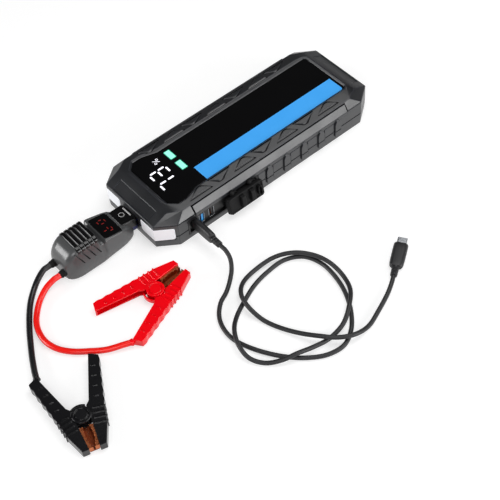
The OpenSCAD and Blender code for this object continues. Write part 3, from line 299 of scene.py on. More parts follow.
def joined(pieces, name):
    """Several objects made one."""
    clear_selection()
    for piece in pieces:
        piece.select_set(True)
    bpy.context.view_layer.objects.active = pieces[0]
    if len(pieces) > 1:
        bpy.ops.object.join()
    pieces[0].name = name
    pieces[0].data.name = name
    return pieces[0]


def applied(name):
    """The active new primitive, named, with its place put into its mesh."""
    piece = bpy.context.object
    bpy.ops.object.transform_apply(location=True, rotation=True, scale=True)
    piece.name = name
    piece.data.name = name
    return piece


def block(name, middle, size):
    """A new block by its middle and its size."""
    clear_selection()
    bpy.ops.mesh.primitive_cube_add(size=1, location=middle, scale=size)
    return applied(name)


def round_bar(name, vertices, radius, depth, reach):
    """A new disc pulled out along X, each half by a reach, into a bar with round ends."""
    clear_selection()
    bpy.ops.mesh.primitive_cylinder_add(vertices=vertices, radius=radius, depth=depth)
    piece = applied(name)
    for vertex in piece.data.vertices:
        vertex.co.x += math.copysign(reach, vertex.co.x + 1e-9)
    return piece


def along(axis, least=0.9):
    """A test for edges that run along an axis, 0 for X to 2 for Z."""
    return lambda p, n: abs(n[axis]) > least * n.length


def round_edges(piece, test, width, segments):
    """Rounds the edges whose middle and direction pass a test."""
    edit(piece)
    pick(piece, "edges", test)
    bpy.ops.mesh.bevel(offset=width, segments=segments)
    object_mode()


def press_in(piece, rim, depth):
    """Presses the side towards -Y in and leaves a rim round it."""
    edit(piece)
    pick(piece, "faces", lambda p, n: n.y < -0.9)
    bpy.ops.mesh.inset(thickness=rim)
    bpy.ops.mesh.extrude_region_move(TRANSFORM_OT_translate={"value": (0, depth, 0)})
    object_mode()


def draw_out(height):
    """In edit mode, draws the selected plate out along Z into a solid."""
    bpy.ops.mesh.extrude_region_move(TRANSFORM_OT_translate={"value": (0, 0, height)})
    bpy.ops.mesh.select_all(action="SELECT")
    bpy.ops.mesh.normals_make_consistent(inside=False)
    object_mode()


def combine(target, tool, operation="DIFFERENCE", **settings):
    """Cuts a tool out of a target, or joins it on, and removes the tool."""
    apply(target, "BOOLEAN", operation=operation, object=tool, solver="EXACT", **settings)
    bpy.data.objects.remove(tool)


def loft(name, rings, sharp=40.0):
    """A closed skin through rings of equal point counts: a grid laid on the rings and capped."""
    clear_selection()
    around, steps = len(rings[0]), len(rings) - 1
    bpy.ops.mesh.primitive_grid_add(x_subdivisions=around, y_subdivisions=steps, size=2)
    piece = applied(name)
    for vertex in piece.data.vertices:
        column = round((vertex.co.x + 1) / 2 * around) % around
        vertex.co = rings[round((vertex.co.y + 1) / 2 * steps)][column]
    edit(piece)
    bpy.ops.mesh.remove_doubles(threshold=1e-7)
    bpy.ops.mesh.fill_holes(sides=0)
    bpy.ops.mesh.normals_make_consistent(inside=False)
    object_mode()
    bpy.ops.object.shade_smooth_by_angle(angle=math.radians(sharp))
    return piece


def oval_ring(middle, side, up, radius, half_height, count=32):
    """Ring of a bar with round ends: a circle pulled apart along up to that half height."""
    ring = []
    for k in range(count):
        turn = 2 * math.pi * (k + 0.5) / count
        rise = radius * math.sin(turn)
        rise += math.copysign(half_height - radius, rise)
        ring.append(middle + side * radius * math.cos(turn) + up * rise)
    return ring


def tube_rings(path, radius, count):
    """Round rings along a path, upright wherever the path lets them."""
    rings = []
    last = len(path) - 1
    for i, point in enumerate(path):
        ahead = (path[min(i + 1, last)] - path[max(i - 1, 0)]).normalized()
        side = ahead.cross(Z).normalized()
        rings.append(oval_ring(point, side, side.cross(ahead), radius, radius, count))
    return rings


def post(name, foot, axis, profile, count):
    """A round post from a foot along an axis, 0 to 2; profile gives distances and radii in mm."""
    side, up = AXES[(axis + 1) % 3], AXES[(axis + 2) % 3]
    rings = [oval_ring((Vector(foot) + AXES[axis] * far) * MM, side, up, r * MM, r * MM, count)
             for far, r in profile]
    return loft(name, rings, 50)


def smooth_path(route, steps, lowest=0.0):
    """The CAD cord's curve through its route points, straight in its first and last stretch."""
    path = [route[0]]
    for i in range(1, len(route) - 2):
        a, b, c, d = route[i - 1:i + 3]
        for k in range(steps):
            t = k / steps
            path.append(0.5 * (2 * b + (c - a) * t + (2 * a - 5 * b + 4 * c - d) * t * t
                               + (3 * b - a - 3 * c + d) * t * t * t))
    path += route[-2:]
    return [Vector((p.x, p.y, max(p.z, lowest))) for p in path]


# Materials

def add(tree, kind, settings=None, values=None, links=None):
    """Adds a node with its settings, socket values and links."""
    made = tree.nodes.new(kind)
    for key, value in (settings or {}).items():
        setattr(made, key, value)
    for key, value in (values or {}).items():
        made.inputs[key].default_value = value
    for key, source in (links or {}).items():
        tree.links.new(source, made.inputs[key])
    return made


def bare_tree(data):
    """The emptied node tree of a material or a world."""
    data.use_nodes = True
    data.node_tree.nodes.clear()
    return data.node_tree


def surface(name, values, links):
    """A material of one Principled shader; links(tree, spot) gives the sockets that nodes feed."""
    material = bpy.data.materials.new(name)
    tree = bare_tree(material)
    spot = add(tree, "ShaderNodeTexCoord").outputs["Object"]
    shader = add(tree, "ShaderNodeBsdfPrincipled", None, values, links(tree, spot))
    add(tree, "ShaderNodeOutputMaterial", links={"Surface": shader.outputs[0]})
    return material


def clouded(tree, spot, size, detail, roughness, colour, low, high):
    """Noise in clouds of a size in mm, and a colour that drifts along it between two shades."""
    cloud = add(tree, "ShaderNodeTexNoise", None,
                {"Scale": 1 / (size * MM), "Detail": detail, "Roughness": roughness}, {"Vector": spot})
    tone = add(tree, "ShaderNodeMix", {"data_type": "RGBA"},
               {6: shade(colour, low), 7: shade(colour, high)}, {0: cloud.outputs["Fac"]})
    return cloud.outputs["Fac"], tone.outputs[2]


def moulded(name, colour, roughness, grain, depth, uneven=0.07, patch=30, tint=0.12,
            ior=1.5, gleam=0.5):
    """Moulded plastic or rubber. grain is the size of its tooled texture in mm and depth the bump
    in mm; patch is the size in mm of the areas where handling has changed gloss and tone."""
    def links(tree, spot):
        fine = add(tree, "ShaderNodeTexNoise", None,
                   {"Scale": 1 / (grain * MM), "Detail": 3.0, "Roughness": 0.6}, {"Vector": spot})
        broad, tone = clouded(tree, spot, patch, 4.0, 0.55, colour, 1 - tint, 1 + tint)
        gloss = add(tree, "ShaderNodeMapRange", None,
                    {"From Min": 0.3, "From Max": 0.7, "To Min": roughness - uneven,
                     "To Max": roughness + uneven}, {"Value": broad})
        bump = add(tree, "ShaderNodeBump", None, {"Strength": 0.5, "Distance": depth * MM},
                   {"Height": fine.outputs["Fac"]})
        return {"Base Color": tone, "Roughness": gloss.outputs["Result"],
                "Normal": bump.outputs["Normal"]}
    return surface(name, {"IOR": ior, "Specular IOR Level": gleam}, links)


class Finishes:
    """Every material, made once."""

    def __init__(self, scene):
        case, lead, cable = scene.case_look, scene.lead_look, scene.cable_look
        # Spark-eroded ABS: a dry charcoal with a fine pebble that spreads highlights wide
        self.case = moulded("abs_spark_eroded_charcoal", case.case_colour, 0.36, 0.7, 0.02,
                            ior=1.53, gleam=0.75)
        # The same ABS 2.1 times paler, laid on the rounded edges: partly rubbed wear, mostly a painted
        # highlight along each edge
        self.case_edge_wear_and_highlight = moulded("abs_rubbed_edge", [c * 2.1 for c in case.case_colour], 0.3,
                                 0.9, 0.008, ior=1.53)
        # Painted shade for the shadow gaps: the same ABS four times darker and duller, laid on the faces
        # deep in the grooves
        self.groove = moulded("abs_groove_dark", [c * 0.25 for c in case.case_colour], 0.7, 0.7, 0.01,
                              gleam=0.2)
        # Cast acrylic over black print: deep black with a clear mirror gloss and faint wipe marks
        self.window = moulded("acrylic_black_gloss", case.window_colour, 0.09, 6, 0.001, 0.03, 18,
                              0.2, ior=1.49)
        # Screen-printed vinyl film: flat bright blue with a light satin tooth
        self.stripe = moulded("vinyl_film_blue", case.stripe_colour, 0.42, 0.5, 0.006, 0.05, 14,
                              0.03, ior=1.5)
        self.lens = self.make_lens(case.lens_colour)
        # Soft TPE rubber: almost black and dull, with a powdery moulded skin
        self.rubber = moulded("tpe_rubber_black", case.rubber_colour, 0.62, 0.5, 0.03, 0.06, 12, 0.2,
                              gleam=0.22)
        # Glass-filled nylon: black, slightly glossier than the rubber, faint flow lines
        self.black_plastic = moulded("nylon_black", shade(case.rubber_colour, 0.8), 0.42, 0.6, 0.015,
                                     0.06, 16, 0.15)
        # Lit display segments behind the window: an even white
        self.figures = self.make_lit("led_segment_white", case.figure_colour, 0.75)
        self.tile = self.make_lit("led_tile_mint", case.tile_colour, 0.55)
        self.tile_rim = self.make_lit("led_tile_rim_teal", linear("#1E8C74"), 0.35)
        self.dim_red = self.make_lit("led_segment_dim_red", linear("#7A1410"), 0.35)
        # Paint-like glossy ABS of the module: mid grey with long soft highlights
        self.module = moulded("abs_gloss_grey", lead.module_colour, 0.24, 0.6, 0.001, 0.02, 25, 0.04,
                              ior=1.55)
        # Polished black ABS of the grip bars and collar
        self.gloss_black = moulded("abs_gloss_black", linear("#09090A"), 0.16, 1.5, 0.002, 0.03, 12,
                                   0.2, ior=1.53)
        # Printed white mark on the collar: flat paint
        self.white_print = moulded("pad_print_white", linear("#D2D2D2"), 0.5, 0.4, 0.004, 0.05, 8, 0.03)
        # Two-pole power plug: matt navy polycarbonate
        self.plug = moulded("polycarbonate_navy", lead.plug_colour, 0.4, 0.6, 0.012, 0.06, 10, 0.12)
        # Glossy polypropylene of the clamps: clean strong colour, faint moulding ripple
        self.red_clamp = moulded("polypropylene_red", lead.red_colour, 0.17, 3.0, 0.006, 0.03, 18, 0.05,
                                 ior=1.49, gleam=0.4)
        self.black_clamp = moulded("polypropylene_black", lead.black_colour, 0.15, 3.0, 0.006, 0.03, 18,
                                   0.2, ior=1.49)
        # Silicone cable skin: smooth and rubbery with a soft bloom of dust
        self.red_lead = moulded("silicone_red", lead.red_lead_colour, 0.26, 0.8, 0.006, 0.06, 20, 0.06)
        self.black_lead = moulded("silicone_black", shade(lead.black_colour, 1.1), 0.28, 0.8, 0.006,
                                  0.06, 20, 0.2)
        # TPE cable jacket: dark grey, fine matt skin
        self.jacket = moulded("tpe_jacket_dark", cable.jacket_colour, 0.5, 0.5, 0.02, 0.08, 15, 0.15)
        self.copper = self.make_metal("copper_plated_steel", lead.copper_colour, 0.3, 1.2)
        # The webs between the jaws: the same plating painted darker, for the shade that falls in the gap
        # between the jaws
        self.tarnished = self.make_metal("copper_tarnished", linear("#8A4529"), 0.42, 1.2)
        # Drawn nickel-plated steel of pins, springs and connector shells
        self.steel = self.make_metal("nickel_plated_steel", linear("#B9BCC0"), 0.28, 0.8)
        self.board = self.make_board()
        # Aluminium laminate of pouch cells: dull silver with a soft crinkle
        self.pouch = self.make_metal("aluminium_pouch_film", linear("#9AA0A6"), 0.42, 9.0)
        # Closed-cell foam: very dark, with open pores
        self.foam = moulded("polyethylene_foam_black", linear("#232325"), 0.85, 1.2, 0.25, 0.05, 10, 0.2)
        # Blue insulator tongue of the fast port
        self.tongue_blue = moulded("nylon_tongue_blue", linear("#3A9BE0"), 0.4, 0.4, 0.006)
        self.tongue_black = moulded("nylon_tongue_black", linear("#1A1A1C"), 0.4, 0.4, 0.006)

    @staticmethod
    def make_lens(colour):
        """Opal polycarbonate: bright white, softly glossy, with fine upright lens flutes, and a faint
        painted glow in its own colour that makes the white brighter.
        """
        def links(tree, spot):
            flute = add(tree, "ShaderNodeTexWave", {"bands_direction": "Z"},
                        {"Scale": 0.1 / (1.6 * MM), "Distortion": 0.0}, {"Vector": spot})
            tone = clouded(tree, spot, 9, 3.0, 0.5, colour, 0.93, 1.02)[1]
            bump = add(tree, "ShaderNodeBump", None, {"Strength": 0.25, "Distance": 0.02 * MM},
                       {"Height": flute.outputs["Fac"]})
            return {"Base Color": tone, "Normal": bump.outputs["Normal"]}
        return surface("polycarbonate_opal_white",
                       {"Roughness": 0.22, "IOR": 1.58, "Emission Color": shade(colour, 1),
                        "Emission Strength": 0.12}, links)

    @staticmethod
    def make_lit(name, colour, strength):
        """A lit segment: its own colour with a slight cloud in the diffuser."""
        def links(tree, spot):
            tone = clouded(tree, spot, 2.5, 2.0, 0.5, colour, 0.88, 1.05)[1]
            return {"Base Color": tone, "Emission Color": tone}
        return surface(name, {"Roughness": 0.35, "Emission Strength": strength}, links)

    @staticmethod
    def make_metal(name, colour, roughness, grain):
        """Plated or rolled metal: uneven polish and slight tarnish, grain in mm."""
        def links(tree, spot):
            fine, tone = clouded(tree, spot, grain, 5.0, 0.65, colour, 0.72, 1.08)
            gloss = add(tree, "ShaderNodeMapRange", None,
                        {"From Min": 0.3, "From Max": 0.7, "To Min": roughness - 0.08,
                         "To Max": roughness + 0.14}, {"Value": fine})
            bump = add(tree, "ShaderNodeBump", None, {"Strength": 0.3, "Distance": 0.02 * MM},
                       {"Height": fine})
            return {"Base Color": tone, "Roughness": gloss.outputs["Result"],
                    "Normal": bump.outputs["Normal"]}
        return surface(name, {"Metallic": 1.0}, links)

    @staticmethod
    def make_board():
        """Circuit board: green solder mask over paler tracks, a few mm apart."""
        def links(tree, spot):
            track = add(tree, "ShaderNodeTexBrick", {"offset": 0.5},
                        {"Color1": shade(linear("#1D5A38"), 1), "Color2": shade(linear("#17492E"), 1),
                         "Mortar": shade(linear("#3E7F57"), 1), "Scale": 1 / (12 * MM),
                         "Mortar Size": 0.03}, {"Vector": spot})
            return {"Base Color": track.outputs["Color"]}
        return surface("solder_mask_green", {"Roughness": 0.35}, links)


STORE = {}


def finishes():
    """The materials, kept between operators."""
    if "made" not in STORE:
        STORE["made"] = Finishes(bpy.context.scene)
    return STORE["made"]


# Operators

def soft_box(name, power, size, place, aim):
    """A square soft light at a place, turned towards a point."""
    light = bpy.data.lights.new(name, "AREA")
    light.energy = power
    light.shape = "RECTANGLE"
    light.size, light.size_y = size
    lamp = bpy.data.objects.new(name, light)
    lamp.location = place
    lamp.rotation_euler = (Vector(aim) - Vector(place)).to_track_quat("-Z", "Y").to_euler()
    bpy.context.scene.collection.objects.link(lamp)


class JUMPSTARTER_OT_stage(bpy.types.Operator):
    """Camera at the photograph's angle, pale floor, soft boxes and room light"""

    bl_idname = "jump_starter.stage"
    bl_label = "Stage"

    # The photograph's camera: angles in degrees, distance, focal length and frame width in pixels
    azimuth, elevation, roll = -36.82, 51.17, -4.89
    distance, focal_pixels, frame_pixels = 980.85 * MM, 1199.05, 500
    target = mm(-64.21, -86.91, 0)

    def execute(self, context):
        scene = context.scene
        look = scene.stage_look
        az, el, roll = (math.radians(a) for a in (self.azimuth, self.elevation, self.roll))
        back = Vector((math.sin(az) * math.cos(el), -math.cos(az) * math.cos(el), math.sin(el)))
        right = Vector((math.cos(az), math.sin(az), 0))
        up = back.cross(right)
        right, up = (right * math.cos(roll) + up * math.sin(roll),
                     up * math.cos(roll) - right * math.sin(roll))
        data = bpy.data.cameras.new("photo_camera")
        data.sensor_width = 36
        data.lens = self.focal_pixels / self.frame_pixels * data.sensor_width
        data.clip_end = 20
        camera = bpy.data.objects.new("photo_camera", data)
        turned = Matrix((right, up, back)).transposed().to_4x4()
        camera.matrix_world = Matrix.Translation(self.target + back * self.distance) @ turned
        scene.collection.objects.link(camera)
        scene.camera = camera
        scene.view_settings.view_transform = "Standard"

        clear_selection()
        bpy.ops.mesh.primitive_plane_add(size=12)
        floor = applied("floor")
        coat(floor, self.floor_paper(look))

        world = bpy.data.worlds.new("room")
        scene.world = world
        tree = bare_tree(world)
        light = add(tree, "ShaderNodeBackground", None, {"Color": (1, 1, 1, 1), "Strength": look.room})
        add(tree, "ShaderNodeOutputWorld", links={"Surface": light.outputs[0]})

        # The overhead box ends short of what the flat window mirrors, so the window stays black
        soft_box("overhead_box", look.top_power, (0.95, 0.7), (0.38, -0.1, 1.0), (0.38, -0.1, 0))
        soft_box("port_side_box", look.side_power, (1.0, 0.5), (0.35, -1.1, 0.34), (-0.02, -0.05, 0.02))
        soft_box("camera_box", look.front_power, (0.7, 0.5), (-0.8, -0.7, 0.85), (-0.12, -0.06, 0))
        soft_box("left_box", look.left_power, (0.65, 0.6), (-1.25, 0.58, 0.4), (-0.15, 0, 0.02))
        return {"FINISHED"}

    @staticmethod
    def floor_paper(look):
        """White background paper: part of its white is its own, so shadows stay faint."""
        material = bpy.data.materials.new("paper_white")
        tree = bare_tree(material)
        ray = add(tree, "ShaderNodeLightPath")
        either = add(tree, "ShaderNodeMath", {"operation": "MAXIMUM"},
                     links={0: ray.outputs["Is Camera Ray"], 1: ray.outputs["Is Glossy Ray"]})
        seen = add(tree, "ShaderNodeMath", {"operation": "MAXIMUM"},
                   links={0: either.outputs[0], 1: ray.outputs["Is Transmission Ray"]})
        spot = add(tree, "ShaderNodeTexCoord").outputs["Object"]
        tooth = add(tree, "ShaderNodeTexNoise", None, {"Scale": 1 / (3 * MM), "Detail": 2.0},
                    {"Vector": spot})
        bump = add(tree, "ShaderNodeBump", None, {"Strength": 0.1, "Distance": 0.02 * MM},
                   {"Height": tooth.outputs["Fac"]})
        paper = add(tree, "ShaderNodeBsdfDiffuse", None, {"Color": shade(look.floor_colour, 1)},
                    {"Normal": bump.outputs["Normal"]})
        glow = add(tree, "ShaderNodeEmission", None, {"Color": (1, 1, 1, 1)},
                   {"Strength": add(tree, "ShaderNodeMath", {"operation": "MULTIPLY"}, {1: 0.55},
                                    {0: seen.outputs[0]}).outputs[0]})
        both = add(tree, "ShaderNodeAddShader", links={0: paper.outputs[0], 1: glow.outputs[0]})
        add(tree, "ShaderNodeOutputMaterial", links={"Surface": both.outputs[0]})
        return material


class JUMPSTARTER_OT_leads(bpy.types.Operator):
    """Red and black silicone leads from the module to the clamps"""

    bl_idname = "jump_starter.leads"
    bl_label = "Clamp leads"

    def execute(self, context):
        scene, finish = context.scene, finishes()
        radius = scene.lead_look.thickness / 2
        for node, route, material, slot in (
                ("red_lead", RED_ROUTE, finish.red_lead, "red_silicone"),
                ("black_lead", BLACK_ROUTE, finish.black_lead, "black_silicone")):
            path = smooth_path(route, 10)
            lead = loft(node + "_skin", tube_rings(path, radius, 24))
            settle(lead, "lead_set", material, slot, node)
        return {"FINISHED"}


class JUMPSTARTER_OT_cable(bpy.types.Operator):
    """USB cable lying in two loops, with a moulded grip and a steel shell at each end"""

    bl_idname = "jump_starter.cable"
    bl_label = "USB cable"

    # Front of the near grip, tail of the far one and its turn in degrees
    front = mm(-85, -42, 13.25)
    far_tail, far_turn = USB_ROUTE[-1], -56
    # Along a grip in mm: the end of its block, the pitch of the ribs behind it, its whole length
    block_end, rib_pitch, length = 24.0, 2.7, 33.0

    def grip_rings(self):
        """Rings of a grip along -Y from its front: rounded block, waist, ribbed strain relief."""
        profile = [
            (0, 2.3, 5.0), (0.15, 2.75, 5.5), (0.5, 3.05, 5.8), (1.0, 3.25, 6.0), (6, 3.25, 6.0),
            (17, 3.25, 5.95), (21, 3.2, 5.75), (22.8, 3.15, 5.4), (23.6, 3.1, 4.9), (23.95, 3.1, 4.2),
            (self.block_end, 3.1, 3.1)]
        for i in range(3):
            for step, drop in ((0.3, 0.0), (1.7, 0.0), (1.95, 0.4), (2.5, 0.4)):
                y = self.block_end + self.rib_pitch * i + step
                radius = (3.1 - 0.03 * (y - self.block_end)) - drop
                profile.append((y, radius, radius))
        profile += [(32.2, 2.9, 2.9), (32.8, 2.8, 2.8), (self.length, 2.5, 2.5), (self.length, 1.95, 1.95)]
        return [oval_ring(mm(0, -y, 0), X, Z, radius * MM, half * MM)
                for y, radius, half in profile]

    def execute(self, context):
        scene, finish = context.scene, finishes()
        radius = scene.cable_look.thickness / 2
        path = smooth_path(USB_ROUTE, 8, radius)
        cable = loft("usb_cable_jacket", tube_rings(path, radius - 0.03 * MM, 20))
        settle(cable, "usb_lead", finish.jacket, "cable_jacket", "usb_cable")

        near = loft("usb_near_grip_moulding", self.grip_rings(), 50)
        far = new_copy("usb_far_grip_moulding", near.data)
        near.data.transform(Matrix.Translation(self.front))
        far.data.transform(
            Matrix.Translation((self.far_tail.x, self.far_tail.y, 3.25 * MM))
            @ spin(self.far_turn, "Z") @ shift(0, self.length, 0) @ spin(90, "Y"))
        settle(near, "usb_lead", finish.jacket, "cable_jacket", "usb_near_grip")
        settle(far, "usb_lead", finish.jacket, "cable_jacket", "usb_far_grip")
        shells = [eased(node, node + "_shell", "usb_lead", finish.steel, "steel", 0.12)
                  for node in ("usb_near_plug", "usb_far_plug")]
        return {"FINISHED"}


class JUMPSTARTER_OT_case(bpy.types.Operator):
    """Upper and lower shell of the case, with the raised triangles beside the window"""

    bl_idname = "jump_starter.case"
    bl_label = "Case"

    # The falling edge of the top: where it starts and ends across, its heights there and its tilt
    crown_y, edge_y, crown_z, edge_z = 28 * MM, 39 * MM, 34 * MM, 32.2 * MM
    tilt = math.atan2(crown_z - edge_z, edge_y - crown_y)
    # Slope of the band below that edge
    band_slope = math.atan2(25.5 - 32.2, 44 - 39)
    # The rows of triangles: distance from the middle line, first one along X, and pitch
    triangle_y, triangle_x, pitch = 32.75 * MM, -70.5 * MM, 23.5 * MM
    # Outline in mm: half its length and width, and the cut of its corners along X and Y
    half_x, half_y, cut_x, cut_y = 119, 44, 16.5, 12
    # Triangle in mm: half its base and half its tip, how far the tip leans, and their y
    base_half, tip_half, lean, base_y, tip_y = 11.3, 1.7, 2.2, -3.2, 3.1
    # Along X the bands end here, and the shadow gap runs round the ends of the top
    band_start, band_end = -86 * MM, 88 * MM

    def crown(self, y):
        """Height of the falling edge of the top at a distance from the middle line."""
        share = (abs(y) - self.crown_y) / (self.edge_y - self.crown_y)
        return self.crown_z + share * (self.edge_z - self.crown_z)

    def on_crown(self, x, side, lift=0.0):
        """A place in the row of triangles on one side, level with the falling edge of the top."""
        return (Matrix.Translation((x, side * self.triangle_y, self.crown(self.triangle_y) + lift))
                @ Matrix.Rotation(-side * self.tilt, 4, "X"))

    def execute(self, context):
        finish = finishes()
        width = context.scene.case_look.edge_round
        top = cad_copy("top_shell", "top_shell_moulding")
        self.plane_crowns(top)
        bottom = cad_copy("bottom_shell", "bottom_shell_moulding")
        self.straight_foot(bottom)
        for shell in (top, bottom):
            # The second material, on the rounded edges, is a painted highlight with a little wear; the
            # third is painted shade for the grooves
            coat(shell, finish.case, finish.case_edge_wear_and_highlight, finish.groove)
            rounded(shell, width, 2, 25, 1)
        self.press_ring(top, 24.5, 25.05, 0.5, lambda p: not self.band_start <= p.x <= self.band_end)
        self.cut_band_lines(top, finish)
        self.cut_pockets(top, finish)
        self.close(top)
        self.press_ring(bottom, 11.2, 11.95, 0.35, lambda p: True)
        for shell, node in ((top, "top_shell"), (bottom, "bottom_shell")):
            smooth_again(shell)
            settle(shell, "pack", None, "case_plastic", node)

        model = self.triangle(0.0, -0.6, 0.75)
        edit(model)
        pick(model, "verts", lambda p, n: p.z > 0.3 * MM)
        bpy.ops.transform.resize(value=(0.9, 0.74, 1.0))
        object_mode()
        # The triangles' rounded edges take the paler edge material: a painted highlight with a little wear
        coat(model, finish.case, finish.case_edge_wear_and_highlight)
        rounded(model, 0.25 * MM, 2, 20, 1)
        for side, name in ((-1, "near_triangles"), (1, "far_triangles")):
            row = joined(self.row(model, side), name)
            settle(row, "pack", None, "case_plastic")
        bpy.data.objects.remove(model)
        return {"FINISHED"}

    def plane_crowns(self, top):
        """Planes the falling edges of the top flat, so that new triangles can be set on them."""
        for side in (-1, 1):
            cutter = block("crown_plane", (0, 0, 0), mm(260, 24, 6))
            cutter.data.transform(self.on_crown(0, side, -0.03 * MM) @ shift(0, 0, 3))
            combine(top, cutter)
        clean(top, 0.01 * MM)

    def outline(self, inset, z):
        """The case's cut-cornered outline, drawn in by an inset, at a height, in mm."""
        x, y = self.half_x - inset, self.half_y - inset
        corner = ((x - self.cut_x, -y), (x, self.cut_y - y), (x, y - self.cut_y), (x - self.cut_x, y))
        return [mm(way * a, way * b, z) for way in (1, -1) for a, b in corner]

    def straight_foot(self, bottom):
        """Brings the wall straight down to the floor with a ring round the drawn-in base."""
        foot = loft("foot_ring", [self.outline(0.4, 0.0), self.outline(0.09, 4.9)])
        core = loft("foot_core", [self.outline(2.7, -1.0), self.outline(2.7, 6.0)])
        combine(foot, core)
        combine(bottom, foot, "UNION")
        # The ring's upper edge and the wall's are a hair apart: they become one
        edit(bottom)
        pick(bottom, "verts", lambda p, n: 4.8 * MM < p.z < 5.03 * MM
             and (abs(p.x) > 118.7 * MM or abs(p.y) > 43.7 * MM))
        bpy.ops.mesh.remove_doubles(threshold=0.2 * MM)
        object_mode()
        clean(bottom, 0.01 * MM)

    @staticmethod
    def close(shell):
        """Clears the slivers that the cuts leave and closes the skin again."""
        edit(shell)
        bpy.ops.mesh.remove_doubles(threshold=0.02 * MM)
        bpy.ops.mesh.dissolve_degenerate(threshold=0.02 * MM)
        bpy.ops.mesh.select_all(action="DESELECT")
        bpy.ops.mesh.select_mode(type="EDGE")
        bpy.ops.mesh.select_non_manifold()
        bpy.ops.mesh.fill_holes(sides=0)
        object_mode()

    def press_ring(self, shell, low, high, deep, test):
        """A shadow gap round the outer wall between two heights in mm, its pressed-in faces in painted
        shade.
        """
        edit(shell)
        for z in (low, high):
            bpy.ops.mesh.select_all(action="SELECT")
            bpy.ops.mesh.bisect(plane_co=(0, 0, z * MM), plane_no=(0, 0, 1))
        pick(shell, "faces", lambda p, n: low * MM < p.z < high * MM and abs(n.z) < 0.4
             and p.x * n.x + p.y * n.y > 0 and test(p))
        # Slot 2 is the groove material: painted shade on the pressed-in faces
        shell.active_material_index = 2
        bpy.ops.object.material_slot_assign()
        bpy.ops.mesh.extrude_region_shrink_fatten(TRANSFORM_OT_shrink_fatten={"value": -deep * MM})
        object_mode()

    def cut_band_lines(self, shell, finish):
        """Thin grooves round the raised band on each slope, with painted shade on their cut faces."""
        for side in (-1, 1):
            for (x, y, z), size in (((0.75, 39.75, 31.2), (170.6, 0.9, 2.0)),
                                    ((-84.6, 42.0, 28.2), (0.9, 9.0, 2.4)),
                                    ((86.1, 42.0, 28.2), (0.9, 9.0, 2.4))):
                cutter = block("band_line_cutter", (0, 0, 0), Vector(size) * MM)
                cutter.data.transform(shift(x, side * y, z)
                                      @ Matrix.Rotation(side * self.band_slope, 4, "X"))
                self.cut(shell, cutter, finish)

    def cut_pockets(self, shell, finish):
        """A shallow pocket round each raised triangle, with painted shade on its cut faces."""
        model = self.triangle(0.75, -0.7, 2.0)
        for side in (-1, 1):
            self.cut(shell, joined(self.row(model, side), "pocket_cutter"), finish)
        bpy.data.objects.remove(model)

    @staticmethod
    def cut(shell, cutter, finish):
        """Cuts a groove or a pocket whose cut faces get painted shade from the groove material."""
        coat(cutter, finish.groove)
        combine(shell, cutter, material_mode="TRANSFER")

    def row(self, model, side):
        """Copies of a triangle along one side, every second one turned round."""
        pieces = []
        for i in range(7):
            piece = new_copy("triangle", model.data)
            turn = 0 if (i % 2 == 0) == (side < 0) else 180
            piece.data.transform(self.on_crown(self.triangle_x + i * self.pitch, side) @ spin(turn, "Z"))
            pieces.append(piece)
        return pieces

    def triangle(self, grow, low, high):
        """A blunt triangle with rounded corners, grown all round, between two heights in mm."""
        clear_selection()
        bpy.ops.mesh.primitive_plane_add(size=2)
        piece = applied("triangle_model")
        for vertex in piece.data.vertices:
            way = math.copysign(1, vertex.co.x)
            if vertex.co.y < 0:
                vertex.co = mm(way * (self.base_half + 1.7 * grow), self.base_y - grow, low)
            else:
                vertex.co = mm(self.lean + way * (self.tip_half + 0.6 * grow), self.tip_y + grow, low)
        edit(piece)
        bpy.ops.mesh.bevel(offset=1.1 * MM, segments=4, affect="VERTICES")
        draw_out((high - low) * MM)
        return piece


